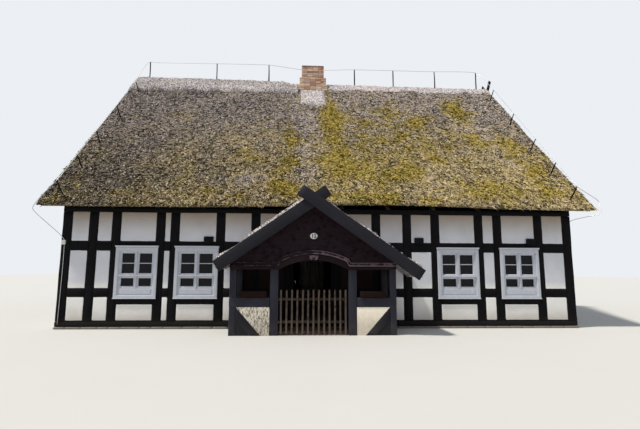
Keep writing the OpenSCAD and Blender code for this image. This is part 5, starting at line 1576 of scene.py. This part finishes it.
# Hood moulding: how far below the lintel's top edge, and how far before its face
HOOD = [(0, -.058), (0, .014), (.004, .020), (.010, .021), (.016, .018), (.020, .020),
        (.040, .027), (.060, .034), (.066, .037), (.070, .047), (.076, .054), (.084, .056),
        (.091, .052), (.096, .043), (.098, .034), (.107, .030), (.113, .018), (.118, 0)]
# Wear of the paint at each point of the outline, from the back of the foot up to the hood's back;
# its light colour on the upward faces of the hood and bead is also a painted highlight, standing in
# for sunlight catching them
LINTEL_WEAR_AND_HIGHLIGHT = np.array([0, .8, 1, 1, .5, .45, .55, .6, .7, 1, 1, .9, .4, .2, .1, .1, 0, 0, 0, 0,
                        .5, 0])


class HOUSE_OT_porch_lintel(bpy.types.Operator):
    """Carves the arched lintel with its hood moulding and keystone"""
    bl_idname = "house.porch_lintel"
    bl_label = "Porch lintel"

    def execute(self, context):
        face = LINTEL_HI[1] - 0.060
        rows = []
        for d, out in HOOD:
            x, z = lintel_line(d)
            rows.append(xyz(DOOR_X + x, face - out, z))
        x, z = lintel_foot()
        last = rows[-1]
        for share, out in ((0.5, 0.0), (0.93, 0.0), (1.0, -0.008), (1.0, -.058)):
            point = last + (xyz(DOOR_X + x, face, z) - last) * share
            point[:, 1] = face - out
            rows.append(point)
        rings = np.stack(rows, 1)[::-1]
        wear = noise(rings, 0.12, 171) * 0.002 + noise(rings, 0.5, 172) * 0.003
        rings += wear[..., None] * [0, 1, 0.4]
        # the paint's wear and painted highlight are strongest right of the keystone, where the sun
        # catches the hood and bead
        edge = LINTEL_WEAR_AND_HIGHLIGHT * (0.75 + 0.65 * ramp_up((rings[..., :1, 0] - DOOR_X) / 0.3 + 0.5))
        shape = skin(rings[None], split=len(HOOD), edge=edge[None], tint=[0.3])
        put("porch_lintel_moulding", shape, "purple_brown_moulding_wear_and_highlight", "porch_lintel")
        foot, top = PORCH_HEAD + ARCH_RISE + 0.008, PORCH_HEAD + ARCH_RISE + ARCH_RING - 0.122
        t = np.array([0, .06, .5, .94, 1])[:, None]
        half = 0.085 + 0.035 * t - np.array([.006, 0, 0, 0, .006])[:, None]
        across, deep, edge = section(16, half, 0.022, 0.006)
        rings = xyz(DOOR_X + across, face - 0.018 + deep, foot + (top - foot) * t)
        stone = skin(rings[None], edge=np.maximum(edge, 0.86), tint=[0.9])
        put("porch_keystone", stone, "purple_brown_moulding_wear_and_highlight", "porch_lintel")
        return {"FINISHED"}


class HOUSE_OT_porch_gable(bpy.types.Operator):
    """Boards the porch gable with level boards, each a little before the one above"""
    bl_idname = "house.porch_gable"
    bl_label = "Porch gable"

    def execute(self, context):
        lo, hi = corners("porch_gable_boards")
        outer, board, lap, beside = (hi[0] - lo[0]) / 2, 0.165, 0.014, 0.80
        levels = np.append(PORCH_HEAD + 0.11, np.arange(PORCH_HEAD + 0.255, hi[2], board))
        shapes = []
        for z0, z1 in zip(levels, np.append(levels[1:], hi[2] - 0.01)):
            arch = z0 < PORCH_HEAD + ARCH_RISE + 0.02
            for a, b in [(-1, -beside), (beside, 1)] if arch else [(-1, 1)]:
                z, out, edge = section(8, (z1 + lap - z0) / 2, 0.009, 0.004)
                z = z + (z0 + z1 + lap) / 2
                out = out - 0.011 - 0.018 * (z - z0) / board
                reach = np.clip((hi[2] - z) / PORCH_SLOPE, 0.01, outer - 0.01)
                start, end = np.where(a == -1, -reach, a), np.where(b == 1, reach, b)
                x = start + (end - start) * np.linspace(0, 1, 15)[:, None]
                rings = xyz(DOOR_X + x, lo[1] - out, z)
                rings += (noise(rings, 0.5, 181) * 0.003)[..., None] * [0, 1, 0]
                shapes.append(skin(rings[None], edge=edge, tint=[(z0 * 7.3) % 1]))
        put("porch_gable_boarding", join(shapes), "purple_brown_boards", "porch_gable_boards",
            smooth=False)
        return {"FINISHED"}


class HOUSE_OT_porch_barge(bpy.types.Operator):
    """Planes the two crossed barge boards of the porch"""
    bl_idname = "house.porch_barge"
    bl_label = "Porch barge boards"

    def execute(self, context):
        for i, node in enumerate(("porch_barge_left", "porch_barge_right")):
            board = timbers(*spans(node), 0.007, 0.005, 0.16, seed=190 + i)
            put(node + "_board", board, "slate_grey_wood", node)
        return {"FINISHED"}


class HOUSE_OT_porch_thatch(bpy.types.Operator):
    """Thatches the porch with one lumpy shell over its ridge and a rough edge at the front"""
    bl_idname = "house.porch_thatch"
    bl_label = "Porch thatch"

    def execute(self, context):
        (lo, left), (_, hi) = corners("porch_thatch_left"), corners("porch_thatch_right")
        ridge, front, back = max(left[2], hi[2]), lo[1], -HOUSE_HI[1] - 0.002

        def surface(x, y, lift):
            """Points of the bumpy top, which is rounded over the ridge."""
            bumps = 0.05 * np.clip(noise(xyz(x, 0, 0), 0.55, 207), -0.4, 1)
            away = np.sqrt((x - DOOR_X) ** 2 + 0.05 ** 2)
            point = xyz(x, y, ridge - away * PORCH_SLOPE + lift + bumps)
            point[..., 2] += rough(point, 0.35, 201) * 0.018 - 0.012
            return point

        rows = 24
        x = np.linspace(lo[0] + 0.05, hi[0] - 0.05, 76)[:, None]
        thick = PORCH_THATCH / math.cos(PORCH_PITCH) - 0.002
        low = xyz(x, np.linspace(front + 0.004, back, 6),
                  ridge - np.abs(x - DOOR_X) * PORCH_SLOPE - thick)
        rings = np.concatenate([surface(x, np.linspace(back, front + 0.004, rows), 0.030), low], 1)
        rim = rings[:, rows - 1:rows + 1]
        rim[..., 1] += 0.015 * (rough(rim, 0.07, 203) - 0.6)
        shell = skin(rings[None], split=rows, tint=[0.5], pale=-0.6)
        rng, n = np.random.default_rng(211), 5200
        x = rng.uniform(lo[0] + 0.10, hi[0] - 0.10, n)
        y = rng.uniform(front + 0.02, -EAVE_Y + 0.2, n)
        hang = rng.random(n) < 0.35
        y = np.where(hang, front + rng.uniform(0.0, 0.03, n), y)
        side, sin, cos = np.sign(x - DOOR_X), math.sin(PORCH_PITCH), math.cos(PORCH_PITCH)
        normal, way = xyz(side * sin, 0, cos), xyz(side * cos, 0, -sin)
        way[hang] = [0, -1, 0]
        ends = tufts(surface(x, y, 0.020), normal, way, np.where(hang, 0.022, 0.09), 0.010, 0.2,
                     213, 0.6, pale=-0.3)
        ends.co[:, 1] = np.maximum(ends.co[:, 1], front - 0.005)
        nodes = "porch_thatch_left porch_thatch_right"
        put("porch_thatch_shell", shell, "new_thatch", nodes)
        put("porch_thatch_reeds", ends, "new_thatch", nodes, smooth=False)
        return {"FINISHED"}


class HOUSE_OT_flower_boxes(bpy.types.Operator):
    """Nails up the two flower boxes and fills them with soil"""
    bl_idname = "house.flower_boxes"
    bl_label = "Flower boxes"

    def execute(self, context):
        wood, soil, t = [], [], 0.02
        for lo, hi in zip(*boxes("flower_boxes")):
            low, high = ring_of_four(lo, hi, t)
            (x0, y0, z0), (x1, y1, _) = lo + t, hi - t
            low, high = np.append(low, [[x0, y0, lo[2]]], 0), np.append(high, [[x1, y1, z0]], 0)
            wood.append(box_timbers(low, high, cut=0.003, wave=0.001, step=0.1))
            top = xyz(np.linspace(x0, x1, 30)[:, None], np.linspace(y1, y0, 10), hi[2] - 0.028)
            top[..., 2] += rough(top, 0.06, 221) * 0.008
            base = top[:, ::-1] * [1, 1, 0] + [0, 0, z0]
            soil.append(skin(np.concatenate([top, base], 1)[None], split=top.shape[1]))
        put("flower_box_boards", join(wood), "box_wood", "flower_boxes")
        put("flower_box_soil", join(soil), "soil", "flower_boxes")
        return {"FINISHED"}


# Steps of the enamel plate from its back rim inward, as (share of its width, share of its depth)
PLATE_STEPS = np.array([(1, 0), (1, .6), (.975, 1.0), (.93, 1.0), (.91, .7), (.7, .78), (.4, .85),
                        (.15, .87)])


class HOUSE_OT_number_plate(bpy.types.Operator):
    """Presses the oval enamel plate and sets plain figures on it"""
    bl_idname = "house.number_plate"
    bl_label = "Number plate"

    def execute(self, context):
        lo, hi = corners("number_plate")
        mid, half = (lo + hi) / 2, (hi - lo) / 2
        turn = np.arange(48) * math.tau / 48
        grow, out = PLATE_STEPS[:, :1], PLATE_STEPS[:, 1:]
        # seen from the front: X to the right, Z up, the path coming forward
        rings = xyz(mid[0] + half[0] * grow * np.cos(turn), hi[1] - 0.006 * out,
                    mid[2] + half[2] * grow * np.sin(turn))
        put("number_plate_oval", skin(rings[None], edge=(np.abs(out - 1) < .01) * 1.0),
            "white_enamel", "number_plate")
        text = bpy.data.curves.new("figures", "FONT")
        text.body, text.size, text.extrude, text.offset = "12", 0.125, 0.0008, 0.005
        text.align_x = text.align_y = "CENTER"
        text.resolution_u = 4
        made = bpy.data.objects.new("figures", text)
        context.scene.collection.objects.link(made)
        context.view_layer.update()
        mesh = bpy.data.meshes.new_from_object(
            made.evaluated_get(context.evaluated_depsgraph_get()))
        bpy.data.objects.remove(made)
        mesh.transform(Matrix.Translation((mid[0], hi[1] - 0.0058, mid[2]))
                       @ Matrix.Rotation(math.pi / 2, 4, "X"))
        mesh.materials.clear()
        add_piece("number_plate_figures", mesh, "dark_enamel", "number_plate")
        return {"FINISHED"}


PICKETS, PICKET_WIDE, PICKET_THICK = 13, 0.046, 0.022
GATE_RAILS = (0.323, 0.862)  # heights of the rails' middles


class HOUSE_OT_gate(bpy.types.Operator):
    """Splits the gate's round-topped pickets and rails, each nailed twice"""
    bl_idname = "house.gate"
    bl_label = "Gate"

    def execute(self, context):
        rng = np.random.default_rng(231)
        n, r, back = PICKETS, PICKET_WIDE / 2, GATE_LO[1]
        x = np.linspace(GATE_LO[0] + 0.012 + r, GATE_HI[0] - 0.012 - r, n)
        z0, z1 = GATE_LO[2], GATE_HI[2] - rng.uniform(0, 0.008, n)
        arc, up = np.linspace(0, np.pi, 11), np.array([.0, .25, .5, .75])
        # outline seen from the front: up the right side, over the round top, down the left side
        ox = np.concatenate([np.full(4, 1.0), np.cos(arc), np.full(4, -1.0)]) * r
        body = (z1 - r - z0)[:, None]
        oz = np.concatenate([body * up, body + r * np.sin(arc), body * up[::-1]], 1) + z0
        lean = rng.normal(0, 0.002, n)[:, None] * (oz - z0)
        worn = 0.0018 * noise(xyz(x[:, None] * 5, oz, ox), 0.08, 233)
        # rings run from the back of the picket to its front, anticlockwise as seen from the front
        cut = np.array([0.004, 0, 0, 0.004])[None, :, None]
        depth = np.array([PICKET_THICK, PICKET_THICK - 0.004, 0.004, 0.0])[None, :, None]
        head = (oz > (z0 + 0.9 * (z1 - z0))[:, None])[:, None]
        pickets = skin(xyz(x[:, None, None] + ox * (1 - cut / r) + (worn + lean)[:, None],
                           back + depth, oz[:, None] - cut * head * 0.8),
                       edge=np.array([1, 0, 0, 1.0])[:, None], tint=rng.random(n))
        rails = box_timbers([[GATE_LO[0], back + PICKET_THICK, z - 0.03] for z in GATE_RAILS],
                            [[GATE_HI[0], GATE_HI[1], z + 0.03] for z in GATE_RAILS],
                            cut=0.005, wave=0.002, step=0.12)
        put("gate_pickets", join([pickets, rails]), "weathered_wood", "gate", body="gate_leaf",
            smooth=False)
        nx, nz = (q.ravel() for q in np.meshgrid(x, [0.335, 0.312, 0.874, 0.850]))
        nx = nx + np.resize([0.008, -0.008], len(nx))
        nx, nz = nx[:, None, None], nz[:, None, None]
        t = np.array([(0.2, 1.0), (0.7, .85), (1.0, .4), (1.0, 0.0)])
        k = np.arange(6) * math.tau / 6
        across, proud = 0.0045 * t[:, :1], 0.0016 * t[:, 1:]
        heads = xyz(nx + across * np.cos(k), back - proud + 0.0002, nz + across * np.sin(k))
        put("gate_nails", skin(heads[:, ::-1]), "wrought_iron", "gate", body="gate_leaf")
        dress("wrought_iron", "gate_eyes", "gate_pintles")
        return {"FINISHED"}


class HOUSE_OT_stage(bpy.types.Operator):
    """Sets the pale floor, the light and the camera"""
    bl_idname = "house.stage"
    bl_label = "Stage"

    def execute(self, context):
        look, scene = context.scene.stage_look, context.scene

        def placed(name, data):
            """An object of the given data in the scene."""
            made = bpy.data.objects.new(name, data)
            scene.collection.objects.link(made)
            return made

        ground = bpy.data.meshes.new("ground")
        ground.from_pydata([(-90, -60, 0), (90, -60, 0), (90, 160, 0), (-90, 160, 0)], [],
                           [(0, 1, 2, 3)])
        made, g = material("ground")
        place = g.place()
        tone = g.mix(g.noise(place, 0.6, 3.0), look.floor_colour,
                     [c * 0.96 for c in look.floor_colour])
        g.surface(tone, 0.9, g.noise(place, 30.0, 3.0), 0.002)
        ground.materials.append(made)
        floor = placed("ground", ground)

        world = bpy.data.worlds.new("sky")
        scene.world = world
        world.use_nodes = True
        g = Graph(world.node_tree)
        path = g.add("LightPath").outputs
        seen = g.calc("MAXIMUM", path["Is Camera Ray"], path["Is Glossy Ray"])
        seen = g.calc("MAXIMUM", seen, path["Is Transmission Ray"])
        strength = g.calc("MULTIPLY_ADD", seen, 0.9 - look.sky_power, look.sky_power)
        tint = g.mix(seen, (0.85, 0.92, 1.0), (0.93, 0.96, 1.0))
        shade = g.add("Background", {"Color": tint, "Strength": strength})
        g.add("OutputWorld", {"Surface": shade.outputs[0]})

        sun = bpy.data.lights.new("sun", "SUN")
        sun.energy, sun.angle, sun.color = look.sun_power, math.radians(4.0), (1.0, 0.96, 0.88)
        lamp = placed("sun", sun)
        lamp.rotation_euler = Vector((0.46, 0.16, -0.875)).to_track_quat("-Z", "Y").to_euler()

        pitch, yaw, roll = (math.radians(d) for d in (7.66, 2.65, 0.20))
        side = Vector((math.cos(yaw), -math.sin(yaw), 0))
        level = Vector((math.sin(yaw), math.cos(yaw), 0))
        up = Vector((0, 0, 1))
        ahead = level * math.cos(pitch) + up * math.sin(pitch)
        rise = up * math.cos(pitch) - level * math.sin(pitch)
        across = side * math.cos(roll) + rise * math.sin(roll)
        above = rise * math.cos(roll) - side * math.sin(roll)
        eye = bpy.data.cameras.new("camera")
        eye.lens, eye.sensor_width = 418.7 / 640 * 36, 36
        eye.clip_end = 400
        camera = placed("camera", eye)
        axes = Matrix((across, above, -ahead)).transposed().to_4x4()
        camera.matrix_world = Matrix.Translation((-0.64, -17.01, 1.55)) @ axes
        scene.camera = camera
        scene.view_settings.view_transform = "Standard"
        return {"FINISHED"}


class HOUSE_PT_panel(bpy.types.Panel):
    """Lists the pieces of the house"""
    bl_idname = "HOUSE_PT_panel"
    bl_label = "Half timbered house"
    bl_space_type = "VIEW_3D"
    bl_region_type = "UI"
    bl_category = "House"

    def draw(self, context):
        for look in (context.scene.house_look, context.scene.stage_look):
            for name in look.bl_rna.properties.keys():
                if name not in ("rna_type", "name"):
                    self.layout.prop(look, name)
        for piece in PIECES:
            self.layout.operator(piece.bl_idname)


PIECES = (HOUSE_OT_plinth, HOUSE_OT_floors, HOUSE_OT_timber_frame, HOUSE_OT_plaster,
          HOUSE_OT_windows, HOUSE_OT_doorway, HOUSE_OT_thatch, HOUSE_OT_ridge,
          HOUSE_OT_roof_timbers, HOUSE_OT_gables, HOUSE_OT_chimney, HOUSE_OT_conductor,
          HOUSE_OT_porch_frame, HOUSE_OT_porch_lintel, HOUSE_OT_porch_gable, HOUSE_OT_porch_barge,
          HOUSE_OT_porch_thatch, HOUSE_OT_flower_boxes, HOUSE_OT_number_plate, HOUSE_OT_gate,
          HOUSE_OT_stage)
CLASSES = (HouseLook, StageLook, *PIECES, HOUSE_PT_panel)


def register():
    for cls in CLASSES:
        bpy.utils.register_class(cls)
    bpy.types.Scene.house_look = PointerProperty(type=HouseLook)
    bpy.types.Scene.stage_look = PointerProperty(type=StageLook)


def unregister():
    del bpy.types.Scene.stage_look, bpy.types.Scene.house_look
    for cls in reversed(CLASSES):
        bpy.utils.unregister_class(cls)


def main():
    """Registers the add-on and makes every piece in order."""
    register()
    for piece in PIECES:
        getattr(bpy.ops.house, piece.bl_idname.split(".")[1])()
    bpy.context.view_layer.update()


if __name__ == "__main__":
    main()
